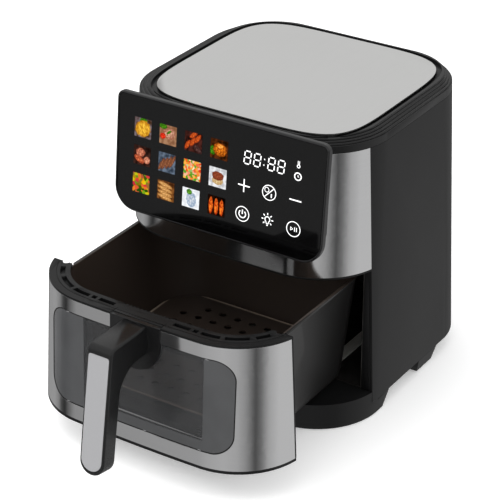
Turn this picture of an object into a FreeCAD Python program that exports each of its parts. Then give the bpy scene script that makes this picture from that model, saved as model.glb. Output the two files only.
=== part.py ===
"""Air fryer with a windowed drawer: a parametric document, millimetres, +Z up, drawer towards -Y.

The origin is on the table, at the middle of the whole object with its drawer open.
The housing tapers upwards, so every piece that meets its skin is cut from one contour(height, inset).
Depths are measured backwards from the housing's front at table height.
"""
import FreeCAD, Part
import math
import os
from FreeCAD import Rotation, Vector

doc = FreeCAD.newDocument("AirFryer")
sheet = doc.addObject("Spreadsheet::Sheet", "Sizes")

SIZES = [
    # the tapering housing
    ("base_half_width", 150.73, "half width at table height"),
    ("side_lean", 0.028, "each side leans in by this much per mm of height"),
    ("front_lean", 0.055, "the front leans back"),
    ("rear_lean", 0.042, "the rear leans forward"),
    ("body_depth", 295.3, "front to rear at table height"),
    ("top_height", 320.0, "top plate above the table"),
    ("front_corner", 77.0, "outer radius of the front corners"),
    ("rear_corner", 73.0, "outer radius of the rear corners"),
    ("front_bow", 2100.0, "radius of the slightly bowed front"),
    ("seam_depth", 67.3, "where the steel front ends and the black side begins"),
    ("shell_wall", 3.0, "plastic wall"),
    ("skirt_height", 17.5, "lower edge of the sides"),
    ("rear_chamfer", 14.0, "bevel along the rear lower edge"),
    ("fit_gap", 0.2, "clearance between fixed pieces"),
    # steel skin and the rim above it
    ("opening_top", 171.8, "top of the drawer opening"),
    ("lip_height", 2.3, "black lip under the upper steel skin"),
    ("skin_height", 132.6, "height of the upper steel skin"),
    ("skin_thickness", 1.0, "steel sheet"),
    ("skin_gap", 0.1, "glue line behind the steel"),
    ("rim_band", 7.5, "plain black band above the steel"),
    ("rim_first_inset", 1.6, "first step of the shoulder"),
    ("rim_step_inset", 3.3, "each further step of the shoulder"),
    ("rim_rear_share", 0.3, "the shoulder is narrower along the rear"),
    # steel top plate
    ("plate_half_width", 121.4, "top plate"),
    ("plate_front", 36.4, "depth of its front edge"),
    ("plate_rear", 271.2, "depth of its rear edge"),
    ("plate_power", 4.88, "superellipse exponent of its outline"),
    ("plate_gap", 5.0, "dark gap round the plate"),
    ("plate_recess", 3.6, "depth of that gap"),
    ("plate_thickness", 1.2, "steel plate"),
    ("deck_wall", 2.6, "plastic deck under the plate"),
    # control panel
    ("panel_half_width", 125.0, "control panel"),
    ("panel_length", 127.2, "along its face"),
    ("panel_foot_height", 201.2, "height of its lower edge"),
    ("panel_foot_depth", -2.66, "depth of its lower edge"),
    ("panel_tilt", 5.96, "degrees it leans back"),
    ("panel_thickness", 6.3, "tray depth"),
    ("panel_wall", 2.4, "visible frame round the glass"),
    ("panel_top_corner", 8.0, "radius"),
    ("panel_low_corner", 25.0, "radius"),
    ("panel_glass_thickness", 1.8, "touch glass"),
    ("panel_glass_gap", 0.3, "clearance round the glass"),
    ("bracket_margin", 12.0, "the bracket stays inside the panel's outline"),
    ("board_thickness", 1.6, "circuit boards"),
    # base and feet
    ("base_height", 29.7, "top of the base"),
    ("base_floor", 2.5, "floor of the base tray"),
    ("foot_bend_height", 14.0, "where the foot's wall changes slope"),
    ("foot_bend_inset", 0.5, "inset there"),
    ("foot_inset", 1.5, "inset at the table"),
    ("foot_top_inset", 0.2, "inset under the drawer"),
    ("foot_width", 34.0, "width of the ring of the front foot"),
    ("foot_rear", 102.0, "how far back the front foot reaches"),
    ("rear_foot_depth", 186.0, "middle of the rear feet"),
    ("rear_foot_length", 40.0, "their length"),
    ("rear_foot_width", 38.0, "their width"),
    ("pad_radius", 8.0, "rubber pads"),
    ("pad_height", 3.0, "pad thickness"),
    ("pad_stand", 1.0, "pads stand out by this much"),
    # drawer front
    ("open_travel", 148.0, "how far the drawer stands open"),
    ("drawer_low", 30.1, "lower edge of the drawer front"),
    ("trim_height", 3.5, "black strip under its steel"),
    ("drawer_skin_top", 167.5, "top of its steel"),
    ("skin_edge", 1.8, "black edge of the frame that shows behind the steel at the seam"),
    ("rim_top", 170.0, "top of its vented rim"),
    ("rim_thickness", 4.8, "height of the vented rim"),
    ("rim_width", 21.6, "front to back"),
    ("drawer_gap", 0.6, "gap between the closed drawer front and the side panels"),
    ("drawer_wall", 4.0, "plastic frame behind the steel"),
    ("slot_near", 11.4, "outer edge of the vent slots"),
    ("slot_far", 16.6, "inner edge of the vent slots"),
    ("slot_floor", 1.0, "floor left under the slots beyond the pan's corners"),
    ("groove_inset", 7.2, "fine line along the top of the rim"),
    ("groove_size", 0.6, "its width and depth"),
    ("tooth_pitch", 4.4, "small notches along the rim's inner edge, over the pan"),
    ("tooth_depth", 1.5, "how deep they are cut"),
    ("cap_half_width", 29.5, "handle boss"),
    ("boss_low", 118.0, "lowest point of the handle boss"),
    ("boss_proud", 1.5, "it stands out of the steel"),
    # windows
    ("window_half_width", 110.0, "outer glass"),
    ("window_low", 50.0, "its lower edge"),
    ("window_top", 153.5, "its upper edge"),
    ("window_corner", 22.0, "its corner radius"),
    ("window_thickness", 2.6, "outer glass"),
    ("window_sink", 0.5, "below the steel's face"),
    ("window_ledge", 7.0, "plastic ledge behind the glass"),
    ("inner_window_half_width", 70.0, "glass in the front of the pan"),
    ("inner_window_low", 50.0, "its lower edge"),
    ("inner_window_top", 148.0, "its upper edge"),
    ("inner_window_thickness", 3.0, "inner glass"),
    # handle
    ("handle_half_width", 14.4, "handle"),
    ("handle_top", 168.0, "top of its arm"),
    ("handle_low", 36.0, "lowest point"),
    ("handle_reach", 70.7, "front of the grip ahead of the housing's front at table height"),
    ("grip_thickness", 21.0, "front to back"),
    ("grip_slope", 9.9, "degrees that the grip swings out"),
    ("arm_height", 31.0, "height of the arm at its root"),
    ("elbow_radius", 7.5, "outer bend"),
    ("grip_fillet", 25.0, "inner bend"),
    ("handle_round", 2.6, "rounded edges"),
    ("inlay_half_width", 12.0, "steel inlay"),
    ("inlay_low", 40.8, "its lowest point"),
    ("inlay_top", 160.0, "its top"),
    ("inlay_thickness", 1.2, "steel inlay"),
    # pan
    ("pan_half_width", 127.0, "at its rim"),
    ("pan_rear", 250.0, "depth of its rear rim"),
    ("pan_low", 34.0, "underside"),
    ("pan_top", 162.5, "rim height"),
    ("pan_wall", 1.5, "coated steel"),
    ("pan_taper", 15.0, "how much narrower each side is at the bottom"),
    ("pan_front_taper", 5.0, "the same for the front wall"),
    ("pan_corner", 48.0, "corner radius"),
    ("pan_bend", 12.0, "bend between the walls and the floor"),
    ("pan_lip", 2.0, "rolled rim"),
    # crisper plate
    ("crisper_low", 55.0, "underside of its rim"),
    ("crisper_height", 8.0, "height of its rim"),
    ("crisper_sheet", 1.5, "coated steel"),
    ("crisper_gap", 5.0, "gap to the pan wall"),
    ("crisper_hole", 4.0, "hole radius"),
    ("crisper_pitch", 19.0, "hole spacing"),
    ("crisper_lift", 96.0, "how far it lifts inside the pan"),
    # cooking cavity
    ("cavity_half_width", 134.0, "inside of the steel liner"),
    ("cavity_rear", 262.0, "depth of its rear wall"),
    ("cavity_corner", 55.0, "its rear corners"),
    ("cavity_floor", 30.2, "underside of its floor"),
    ("cavity_top", 174.5, "underside of its roof"),
    ("liner_sheet", 1.0, "steel liner"),
    ("fan_depth", 163.0, "depth of the fan's axis"),
    ("roof_hole", 82.0, "radius of the hole under the fan"),
    ("drum_radius", 98.0, "heat reflector"),
    ("drum_height", 44.0, "heat reflector"),
    ("coil_radius", 74.0, "outer turn of the heating element"),
    ("coil_tube", 3.2, "tube radius"),
    ("coil_pitch", 13.0, "between turns"),
    ("coil_end_radius", 2.2, "the two ends that carry the current"),
    ("coil_height", 187.0, "height of the element"),
    ("guard_wire", 1.2, "wire radius of the guard"),
    ("shaft_radius", 3.0, "fan shaft"),
    ("bearing_radius", 8.0, "outer radius of the bearings"),
    ("bearing_height", 5.0, "bearings"),
    ("motor_stand", 8.0, "motor above the reflector"),
    ("shaft_gap", 0.05, "running clearance of the shaft"),
    ("motor_radius", 28.0, "motor"),
    ("motor_height", 34.0, "motor"),
    ("hot_fan_radius", 66.0, "hot air fan"),
    ("cool_fan_radius", 56.0, "cooling fan"),
    ("blade_height", 11.0, "fan blades"),
    ("probe_radius", 2.0, "temperature probe"),
    ("coil_end_x", 12.0, "the two ends of the element, from the middle"),
    ("lamp_radius", 9.0, "cavity lamp"),
    ("lamp_inset", 18.0, "its axis from the side of the cavity"),
    ("lamp_depth", 22.0, "its axis behind the seam"),
    # small fixed things
    ("vent_half_width", 52.0, "outlet in the rear wall"),
    ("vent_low", 205.0, "its lower edge"),
    ("vent_top", 272.0, "its upper edge"),
    ("vent_pitch", 8.0, "between its louvres"),
    ("vent_slot", 3.6, "height of each opening"),
    ("gland_x", 60.0, "strain relief of the mains cord"),
    ("gland_z", 62.0, "its height"),
    ("gland_radius", 8.0, "its outer radius"),
    ("gland_bore", 4.0, "radius of the hole for the cord"),
    ("cable_half_width", 10.0, "square passage for the panel's cable"),
    ("cable_z", 262.0, "its height"),
    ("post_radius", 5.5, "screw posts of the shell"),
    ("post_top", 62.0, "their height"),
    ("screw_radius", 1.7, "screw holes"),
    ("screw_head", 3.4, "screw heads"),
    ("soffit_thickness", 2.0, "plate over the drawer opening"),
    ("hanger_height", 8.0, "ring that carries the pan"),
]

for row, (alias, value, note) in enumerate(SIZES, start=1):
    sheet.set("A%d" % row, alias)
    sheet.set("B%d" % row, repr(value))
    sheet.set("C%d" % row, note)
    sheet.setAlias("B%d" % row, alias)
doc.recompute()


class Sheet:
    """Reads a driving size from the spreadsheet by its alias."""

    def __getattr__(self, alias):
        return float(getattr(sheet, alias))


S = Sheet()

# Places that follow from the driving sizes
skin_low = S.opening_top + S.lip_height
skin_high = skin_low + S.skin_height
rim_low = skin_high + S.fit_gap
band_top = rim_low + S.rim_band
widest_rear = S.body_depth - S.rear_lean * S.skirt_height
front_y = (S.open_travel + S.handle_reach - widest_rear) / 2
deck_top = S.top_height - S.plate_recess
deck_low = deck_top - S.deck_wall
frame_inset = S.skin_thickness + S.skin_gap
fan_y = front_y + S.fan_depth
roof_top = S.cavity_top + S.liner_sheet
drum_top = roof_top + S.drum_height
seam_y = front_y + S.seam_depth
skin_end_y = seam_y - S.drawer_gap - S.skin_edge
boss_seat = S.window_sink + S.window_thickness + S.fit_gap
pan_front_inset = S.rim_width + S.fit_gap
post_x = S.base_half_width - S.side_lean * S.post_top - S.shell_wall - S.post_radius + 1.2
lamp_x = -S.cavity_half_width + S.lamp_inset
lamp_y = seam_y + S.lamp_depth
shaft_hole = S.shaft_radius + 3
probe_x = (S.coil_radius + S.coil_tube + S.drum_radius) / 2
coil_end_y = fan_y + math.sqrt(S.coil_radius ** 2 - S.coil_end_x ** 2)
hot_fan_low = drum_top - S.blade_height - 8
motor_low = drum_top + S.motor_stand
motor_top = motor_low + S.motor_height
cool_fan_low = motor_top + 5
FAR = 2 * (S.body_depth + S.base_half_width + S.top_height)

NODES = []


def keep(item, label):
    """Marks a document object as a sub-part: its Label names its file."""
    item.Label = label
    NODES.append(item)
    return item


def solid(label, shape, drawer=False):
    """A sub-part whose shape is worked out here from the sheet's sizes."""
    item = doc.addObject("Part::Feature", label)
    item.Shape = shape.removeSplitter()
    if drawer:
        item.Placement = FreeCAD.Placement(Vector(0, -S.open_travel, 0), Rotation())
    return keep(item, label)


# ---------------------------------------------------------------- outlines
def arc(start, through, end):
    return Part.Arc(start, through, end).toShape()


def line(start, end):
    return Part.makeLine(start, end)


def corner_arc(centre, radius, start_deg, end_deg):
    """An arc about centre, in the plane z = centre.z."""
    def at(angle):
        turn = math.radians(angle)
        return centre + Vector(radius * math.cos(turn), radius * math.sin(turn), 0)
    return arc(at(start_deg), at((start_deg + end_deg) / 2), at(end_deg))


def contour(z, inset=0.0, rear_share=1.0):
    """The housing's outline at height z, moved inwards by inset."""
    half = S.base_half_width - S.side_lean * z - inset
    front = front_y + S.front_lean * z + inset
    rear = front_y + S.body_depth - S.rear_lean * z - inset * rear_share
    corner = S.front_corner - inset
    rear_corner = S.rear_corner - inset
    bow = S.front_bow - inset
    bow_centre = Vector(0, front + bow, z)
    reach = half - corner
    corner_y = front + bow - math.sqrt((bow - corner) ** 2 - reach ** 2)
    right = Vector(reach, corner_y, z)
    out = (right - bow_centre).normalize()
    touch = bow_centre + out * bow
    touch_deg = math.degrees(math.atan2(out.y, out.x))
    mirrored = Vector(-touch.x, touch.y, z)
    inner_x = half - rear_corner
    inner_y = rear - rear_corner
    return Part.Wire([
        arc(mirrored, Vector(0, front, z), touch),
        corner_arc(right, corner, touch_deg, 0),
        line(Vector(half, corner_y, z), Vector(half, inner_y, z)),
        corner_arc(Vector(inner_x, inner_y, z), rear_corner, 0, 90),
        line(Vector(inner_x, rear, z), Vector(-inner_x, rear, z)),
        corner_arc(Vector(-inner_x, inner_y, z), rear_corner, 90, 180),
        line(Vector(-half, inner_y, z), Vector(-half, corner_y, z)),
        corner_arc(Vector(-reach, corner_y, z), corner, 180, 180 - touch_deg),
    ])


def rounded_loop(half, low, high, low_corner, high_corner, z):
    """A rectangle with rounded corners, symmetric about x = 0, in the plane z."""
    return Part.Wire([
        line(Vector(-half + low_corner, low, z), Vector(half - low_corner, low, z)),
        corner_arc(Vector(half - low_corner, low + low_corner, z), low_corner, -90, 0),
        line(Vector(half, low + low_corner, z), Vector(half, high - high_corner, z)),
        corner_arc(Vector(half - high_corner, high - high_corner, z), high_corner, 0, 90),
        line(Vector(half - high_corner, high, z), Vector(-half + high_corner, high, z)),
        corner_arc(Vector(-half + high_corner, high - high_corner, z), high_corner, 90, 180),
        line(Vector(-half, high - high_corner, z), Vector(-half, low + low_corner, z)),
        corner_arc(Vector(-half + low_corner, low + low_corner, z), low_corner, 180, 270),
    ])


def superellipse(grow, z):
    """The top plate's outline, grown by grow."""
    half_x = S.plate_half_width + grow
    half_y = (S.plate_rear - S.plate_front) / 2 + grow
    middle_y = front_y + (S.plate_rear + S.plate_front) / 2
    points = []
    for step in range(48):
        turn = 2 * math.pi * step / 48
        cos, sin = math.cos(turn), math.sin(turn)
        size = (abs(cos) ** S.plate_power + abs(sin) ** S.plate_power) ** (-1 / S.plate_power)
        points.append(Vector(half_x * size * cos, middle_y + half_y * size * sin, z))
    curve = Part.BSplineCurve()
    curve.interpolate(Points=points, PeriodicFlag=True)
    return Part.Wire([curve.toShape()])


# ------------------------------------------------------------ simple solids
def band(low, high, inset_low=0.0, inset_high=None, rear_share=1.0):
    """A solid slice of the housing between two heights."""
    if inset_high is None:
        inset_high = inset_low
    ends = [contour(low, inset_low, rear_share), contour(high, inset_high, rear_share)]
    return Part.makeLoft(ends, True, True)


def block(x_low, x_high, y_low, y_high, z_low, z_high):
    corner = Vector(x_low, y_low, z_low)
    return Part.makeBox(x_high - x_low, y_high - y_low, z_high - z_low, corner)


def front_half(y_limit, z_low, z_high):
    """Everything ahead of y_limit between two heights."""
    return block(-FAR, FAR, -FAR, y_limit, z_low, z_high)


def extrude(wire, direction):
    return Part.Face(wire).extrude(direction)


def tube(outer, inner, height, base):
    pipe = Part.makeCylinder(outer, height, base)
    return pipe.cut(Part.makeCylinder(inner, height, base))


def upright_window(half, low, high, corner):
    """A rounded rectangle in the XZ plane, run through the front of the housing."""
    flat = rounded_loop(half, low, high, corner, corner, 0)
    flat.rotate(Vector(0, 0, 0), Vector(1, 0, 0), 90)
    flat.translate(Vector(0, seam_y, 0))
    return extrude(flat, Vector(0, -FAR, 0))


def boss_outline(grow, y_from, y_to):
    """The U-shaped handle boss as a prism along Y."""
    half = S.cap_half_width + grow
    centre = S.boss_low + S.cap_half_width
    top = S.rim_top - S.fit_gap
    wire = Part.Wire([
        line(Vector(-half, y_from, top + grow), Vector(-half, y_from, centre)),
        arc(Vector(-half, y_from, centre), Vector(0, y_from, centre - half), Vector(half, y_from, centre)),
        line(Vector(half, y_from, centre), Vector(half, y_from, top + grow)),
        line(Vector(half, y_from, top + grow), Vector(-half, y_from, top + grow)),
    ])
    return extrude(wire, Vector(0, y_to - y_from, 0))


# ------------------------------------------------------- primitives on the sheet
def expression_box(name, length, width, height, place):
    """A Part::Box whose sizes and place are expressions on the sheet."""
    item = doc.addObject("Part::Box", name)
    for prop, text in zip(("Length", "Width", "Height"), (length, width, height)):
        item.setExpression(prop, text)
    return bind_place(item, place)


def expression_cylinder(name, radius, height, place):
    item = doc.addObject("Part::Cylinder", name)
    item.setExpression("Radius", radius)
    item.setExpression("Height", height)
    return bind_place(item, place)


def expression_tube(name, outer, inner, height, place):
    """A Part::Cut of two cylinders on one axis."""
    outside = expression_cylinder(name + "_outside", outer, height, place)
    bore = expression_cylinder(name + "_bore", inner, height, place)
    return join("Part::Cut", name + "_tube", (outside, bore))


def bind_place(item, place):
    for axis, text in zip("xyz", place):
        item.setExpression("Placement.Base." + axis, text)
    return item


def join(kind, name, parts):
    """Part::Cut takes a base and a tool, Part::MultiFuse a list."""
    item = doc.addObject(kind, name)
    if kind == "Part::Cut":
        item.Base, item.Tool = parts
    else:
        item.Shapes = parts
    return item


FRONT_Y = "((Sizes.open_travel + Sizes.handle_reach - Sizes.body_depth"
FRONT_Y += " + Sizes.rear_lean * Sizes.skirt_height) / 2)"
FAN_Y = "(%s + Sizes.fan_depth)" % FRONT_Y
SEAM_Y = "(%s + Sizes.seam_depth)" % FRONT_Y
ROOF_TOP = "(Sizes.cavity_top + Sizes.liner_sheet)"
DRUM_TOP = "(%s + Sizes.drum_height)" % ROOF_TOP
MOTOR_LOW = "(%s + Sizes.motor_stand)" % DRUM_TOP
MOTOR_TOP = "(%s + Sizes.motor_height)" % MOTOR_LOW


# ---------------------------------------------------------------- housing
def outer_shell():
    """Black plastic sides, rear and front wall, open below the panel for the drawer."""
    shell = band(S.skirt_height, skin_high).cut(
        band(S.skirt_height - 1, skin_high + 1, S.shell_wall))
    shell = shell.cut(front_half(seam_y, 0, S.opening_top))
    rebate = band(skin_low - S.skin_gap, skin_high + 2, -5).cut(
        band(skin_low - 1, skin_high + 3, frame_inset))
    shell = shell.cut(rebate.common(front_half(seam_y, 0, FAR)))
    rear = front_y + S.body_depth - S.rear_lean * S.skirt_height
    bevel = S.rear_chamfer
    low = S.skirt_height - 1
    corner = [Vector(-FAR, rear - bevel * 0.6, low), Vector(-FAR, rear + 5, low),
              Vector(-FAR, rear + 5, low + bevel * 1.6)]
    shell = shell.cut(extrude(Part.makePolygon(corner + corner[:1]), Vector(2 * FAR, 0, 0)))
    for side in (-1, 1):
        for y in post_places():
            post = Part.makeCylinder(S.post_radius, S.post_top - S.base_height - S.fit_gap,
                                     Vector(side * post_x, y, S.base_height + S.fit_gap))
            shell = shell.fuse(post.common(band(S.base_height, skin_high, S.shell_wall / 2)))
            hole = Part.makeCylinder(S.screw_radius, FAR, Vector(side * post_x, y, S.base_height - 1))
            shell = shell.cut(hole.common(front_half(FAR, 0, S.post_top - S.shell_wall)))
    grille = block(-S.vent_half_width - S.fit_gap, S.vent_half_width + S.fit_gap, fan_y, FAR,
                   S.vent_low - S.fit_gap, S.vent_top + S.fit_gap)
    gland = Part.makeCylinder(S.gland_radius + S.fit_gap, FAR,
                              Vector(S.gland_x, fan_y, S.gland_z), Vector(0, 1, 0))
    return shell.cut(grille).cut(gland).cut(panel_cable())


def post_places():
    """The screw posts, one pair near the front and one near the rear."""
    return (seam_y + 50, front_y + S.rear_foot_depth + S.rear_foot_length / 2 + 10)


def top_rim():
    """Black shoulder of fine steps, with the deck that carries the steel plate."""
    steps = 4
    rise = (S.top_height - band_top) / steps
    rim = band(rim_low, band_top)
    for index in range(steps):
        inset = S.rim_first_inset + index * S.rim_step_inset
        low = band_top + index * rise
        rim = rim.fuse(band(low - 0.5, low + rise * 0.72, inset, inset, S.rim_rear_share))
        rim = rim.fuse(band(low, low + rise, inset + 0.5, inset + 0.9, S.rim_rear_share))
    hollow = band(rim_low - 1, deck_low, S.shell_wall + S.rim_step_inset * 2)
    recess = extrude(superellipse(S.plate_gap, deck_top), Vector(0, 0, FAR))
    return rim.cut(hollow).cut(recess)


def top_plate():
    foot = extrude(superellipse(-4, deck_top), Vector(0, 0, S.plate_recess - S.plate_thickness))
    sheet_metal = extrude(superellipse(0, S.top_height - S.plate_thickness),
                          Vector(0, 0, S.plate_thickness))
    return foot.fuse(sheet_metal)


def upper_skin():
    """Brushed steel wrapped round the front, from one side panel to the other."""
    skin = band(skin_low, skin_high).cut(band(skin_low - 1, skin_high + 1, S.skin_thickness))
    skin = skin.common(front_half(seam_y - S.skin_gap, 0, FAR))
    return skin.cut(panel_cable())


def opening_frame():
    """Black collar round the drawer opening, between the side panels and the steel liner."""
    collar = band(S.base_height + S.fit_gap, S.cavity_top, S.shell_wall + S.fit_gap)
    collar = collar.common(block(-FAR, FAR, seam_y, seam_y + 5, 0, FAR))
    half = S.cavity_half_width + S.liner_sheet + S.fit_gap
    return collar.cut(block(-half, half, -FAR, FAR, 0, FAR))


def front_soffit():
    """Black underside of the overhanging front, between the front wall and the cavity."""
    low = S.opening_top + S.fit_gap
    slab = band(low, low + S.soffit_thickness, S.shell_wall + S.fit_gap)
    return slab.common(front_half(seam_y - S.fit_gap, 0, FAR))


def cavity_liner():
    """Steel box that the pan slides into, with a round hole in its roof under the fan."""
    sheet_metal = S.liner_sheet
    low_y = seam_y + 0.5
    high_y = front_y + S.cavity_rear
    half = S.cavity_half_width
    bend = S.cavity_corner
    outline = rounded_loop(half + sheet_metal, low_y, high_y + sheet_metal, 1, bend + sheet_metal,
                           S.cavity_floor)
    box = extrude(outline, Vector(0, 0, roof_top - S.cavity_floor))
    inside = rounded_loop(half, low_y - 5, high_y, 1, bend, S.cavity_floor + sheet_metal)
    box = box.cut(extrude(inside, Vector(0, 0, S.cavity_top - S.cavity_floor - sheet_metal)))
    hole = Part.makeCylinder(S.roof_hole, FAR, Vector(0, fan_y, S.cavity_top - 1))
    lamp = Part.makeCylinder(S.lamp_radius + S.fit_gap, FAR, Vector(lamp_x, lamp_y, S.cavity_top - 1))
    return box.cut(hole).cut(lamp)


def reflector():
    """Drum over the cavity that turns the heat down."""
    base = Vector(0, fan_y, roof_top)
    drum = tube(S.drum_radius, S.drum_radius - 1, S.drum_height, base)
    lid = tube(S.drum_radius, shaft_hole, 1, Vector(0, fan_y, drum_top - 1))
    probe = Part.makeCylinder(S.probe_radius + S.fit_gap, FAR, Vector(probe_x, fan_y, roof_top))
    ends = [Part.makeCylinder(S.coil_end_radius + S.fit_gap, FAR, Vector(x, coil_end_y, roof_top))
            for x in (-S.coil_end_x, S.coil_end_x)]
    drum = drum.fuse(lid).cut(probe)
    for end in ends:
        drum = drum.cut(end)
    return drum


def heating_element():
    """Three turns of tube, joined by links, with two ends that rise through the reflector."""
    coil = None
    for turn in range(3):
        ring = Part.makeTorus(S.coil_radius - turn * S.coil_pitch, S.coil_tube,
                              Vector(0, fan_y, S.coil_height))
        coil = ring if coil is None else coil.fuse(ring)
    inner = S.coil_radius - 2 * S.coil_pitch
    link = Part.makeCylinder(S.coil_tube * 0.7, S.coil_radius - inner,
                             Vector(0, fan_y - S.coil_radius, S.coil_height), Vector(0, 1, 0))
    coil = coil.fuse(link)
    for x in (-S.coil_end_x, S.coil_end_x):
        post = Part.makeCylinder(S.coil_end_radius, drum_top + 12 - S.coil_height,
                                 Vector(x, coil_end_y, S.coil_height))
        coil = coil.fuse(post)
    return coil


def element_guard():
    """Guard under the element: flat rings on crossing spokes, resting in the hole of the roof."""
    wire = 2 * S.guard_wire
    low = S.cavity_top - S.guard_wire
    outer = S.roof_hole - S.fit_gap
    rings = 5
    guard = None
    for index in range(rings):
        radius = outer * (index + 1) / rings
        ring = tube(radius, radius - wire, wire, Vector(0, fan_y, low))
        guard = ring if guard is None else guard.fuse(ring)
    flange = tube(outer + 6, outer - wire, wire / 2, Vector(0, fan_y, roof_top))
    guard = guard.fuse(flange).fuse(tube(outer, outer - wire, roof_top - low, Vector(0, fan_y, low)))
    spoke_reach = outer - S.guard_wire
    for index in range(3):
        spoke = block(-spoke_reach, spoke_reach, -S.guard_wire, S.guard_wire, 0, S.guard_wire)
        spoke.rotate(Vector(0, 0, 0), Vector(0, 0, 1), 30 + 60 * index)
        spoke.translate(Vector(0, fan_y, low))
        guard = guard.fuse(spoke)
    return guard


def base_shell():
    """Base tray under the cavity and the ring-shaped front foot, which carries the drawer end."""
    top = S.base_height
    floor = top - S.base_floor
    skirt = S.skirt_height - S.fit_gap
    slant = S.skirt_height * 0.8
    end_y = front_y + S.foot_rear
    rear = front_y + S.body_depth - S.rear_lean * S.skirt_height
    tray = band(floor, top, S.shell_wall + S.fit_gap)
    tray = tray.common(block(-FAR, FAR, seam_y - 5, rear - S.rear_chamfer - S.shell_wall, 0, FAR))
    nose = band(S.foot_bend_height, top, S.foot_bend_inset, S.foot_top_inset)
    nose = nose.common(front_half(seam_y - S.fit_gap, 0, top).fuse(front_half(end_y, 0, skirt)))
    foot = band(0, S.foot_bend_height, S.foot_inset, S.foot_bend_inset)
    side = [Vector(-FAR, -FAR, -1), Vector(-FAR, end_y - slant, -1), Vector(-FAR, end_y, skirt + 0.5),
            Vector(-FAR, end_y, FAR), Vector(-FAR, -FAR, FAR)]
    base = foot.fuse(nose).common(extrude(Part.makePolygon(side + side[:1]), Vector(2 * FAR, 0, 0)))
    base = base.cut(front_half(FAR, -1, S.pad_stand))
    inside = block(-FAR, FAR, front_y + S.foot_width, FAR, -1, floor)
    base = base.cut(band(-1, floor, S.foot_width).common(inside))
    base = base.fuse(tray)
    for side in (-1, 1):
        for y in post_places():
            base = base.cut(Part.makeCylinder(S.screw_radius, FAR, Vector(side * post_x, y, 0)))
            base = base.cut(Part.makeCylinder(S.screw_head + S.fit_gap, floor, Vector(side * post_x, y, 0)))
    for x, y in pad_places()[:2]:
        pocket_radius = S.pad_radius + S.fit_gap
        base = base.cut(Part.makeCylinder(pocket_radius, S.pad_height + S.fit_gap, Vector(x, y, 0)))
    return base


def pad_places():
    """The pads under the front foot, then those under the rear feet."""
    ring = S.foot_inset + (S.foot_width - S.foot_inset) / 2
    front = front_y + S.front_corner - (S.front_corner - ring) * math.sqrt(0.5)
    side = S.base_half_width - S.front_corner + (S.front_corner - ring) * math.sqrt(0.5)
    rear_x = S.base_half_width - S.foot_inset - S.rear_foot_width / 2
    rear_y = front_y + S.rear_foot_depth
    return [(-side, front), (side, front), (-rear_x, rear_y), (rear_x, rear_y)]


def rear_feet():
    """Two tapered blocks under the base tray."""
    feet = []
    outer = S.base_half_width - S.side_lean * S.skirt_height - S.foot_top_inset
    for side in (-1, 1):
        ends = []
        for z, shrink in ((S.pad_stand, 0.8), (S.skirt_height - S.fit_gap, 1.0)):
            reach = S.rear_foot_length * shrink / 2
            x_out = side * (outer - (1 - shrink) * 20)
            x_in = side * (outer - S.rear_foot_width)
            y = front_y + S.rear_foot_depth
            ends.append(Part.makePolygon([Vector(x_out, y - reach, z), Vector(x_out, y + reach, z),
                                          Vector(x_in, y + reach, z), Vector(x_in, y - reach, z),
                                          Vector(x_out, y - reach, z)]))
        foot = Part.makeLoft(ends, True, True)
        neck_x = sorted((side * (outer - S.rear_foot_width), side * (outer - S.shell_wall - 1)))
        neck = block(neck_x[0], neck_x[1], front_y + S.rear_foot_depth - S.rear_foot_length / 2,
                     front_y + S.rear_foot_depth + S.rear_foot_length / 2,
                     S.skirt_height - 3, S.base_height - S.base_floor)
        neck = neck.common(band(0, FAR / 4, S.shell_wall * 2))
        foot = foot.fuse(neck)
        x, y = pad_places()[2 if side < 0 else 3]
        feet.append(foot.cut(Part.makeCylinder(S.pad_radius + S.fit_gap, S.pad_height + S.fit_gap,
                                               Vector(x, y, 0))))
    return Part.makeCompound(feet)


def foot_pads():
    pads = []
    for x, y in pad_places():
        pad = Part.makeCylinder(S.pad_radius, S.pad_height, Vector(x, y, 0))
        pads.append(pad.makeChamfer(0.4, [edge for edge in pad.Edges if edge.BoundBox.ZMax < 0.01]))
    return Part.makeCompound(pads)


def base_screws():
    """Four screws from below, through the tray into the posts of the shell."""
    screws = []
    for side in (-1, 1):
        for y in post_places():
            head = S.base_height - S.base_floor
            stem = Part.makeCylinder(S.screw_radius - 0.1, S.post_top - S.shell_wall - head - 4,
                                     Vector(side * post_x, y, head))
            cap = Part.makeCylinder(S.screw_head, 2.4, Vector(side * post_x, y, head - 2.4))
            screws.append(stem.fuse(cap))
    return Part.makeCompound(screws)


def rear_vent():
    """Louvred outlet that fills the hole in the rear wall."""
    rear = band(S.vent_low - 1, S.vent_top + 1).cut(band(S.vent_low - 2, S.vent_top + 2, S.shell_wall))
    plate = rear.common(block(-S.vent_half_width, S.vent_half_width, fan_y, FAR, S.vent_low, S.vent_top))
    count = int((S.vent_top - S.vent_low - 6) // S.vent_pitch)
    for index in range(count):
        z = S.vent_low + 7 + index * S.vent_pitch
        for side in (-1, 1):
            x_low, x_high = sorted((side * 3, side * (S.vent_half_width - 5)))
            plate = plate.cut(block(x_low, x_high, fan_y, FAR, z, z + S.vent_slot))
    return plate


def cord_gland():
    """Strain relief ring for the mains cord, which is left out."""
    y_in = rear_wall_y(S.gland_z) - S.shell_wall
    ring = tube(S.gland_radius, S.gland_bore, S.shell_wall + 3.4, Vector(S.gland_x, y_in - 2, S.gland_z))
    ring.rotate(Vector(S.gland_x, y_in - 2, S.gland_z), Vector(1, 0, 0), -90)
    lip = tube(S.gland_radius + 2.5, S.gland_bore, 2, Vector(S.gland_x, y_in - 3, S.gland_z))
    lip.rotate(Vector(S.gland_x, y_in - 3, S.gland_z), Vector(1, 0, 0), -90)
    return ring.fuse(lip)


def rear_wall_y(z):
    return front_y + S.body_depth - S.rear_lean * z


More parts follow.
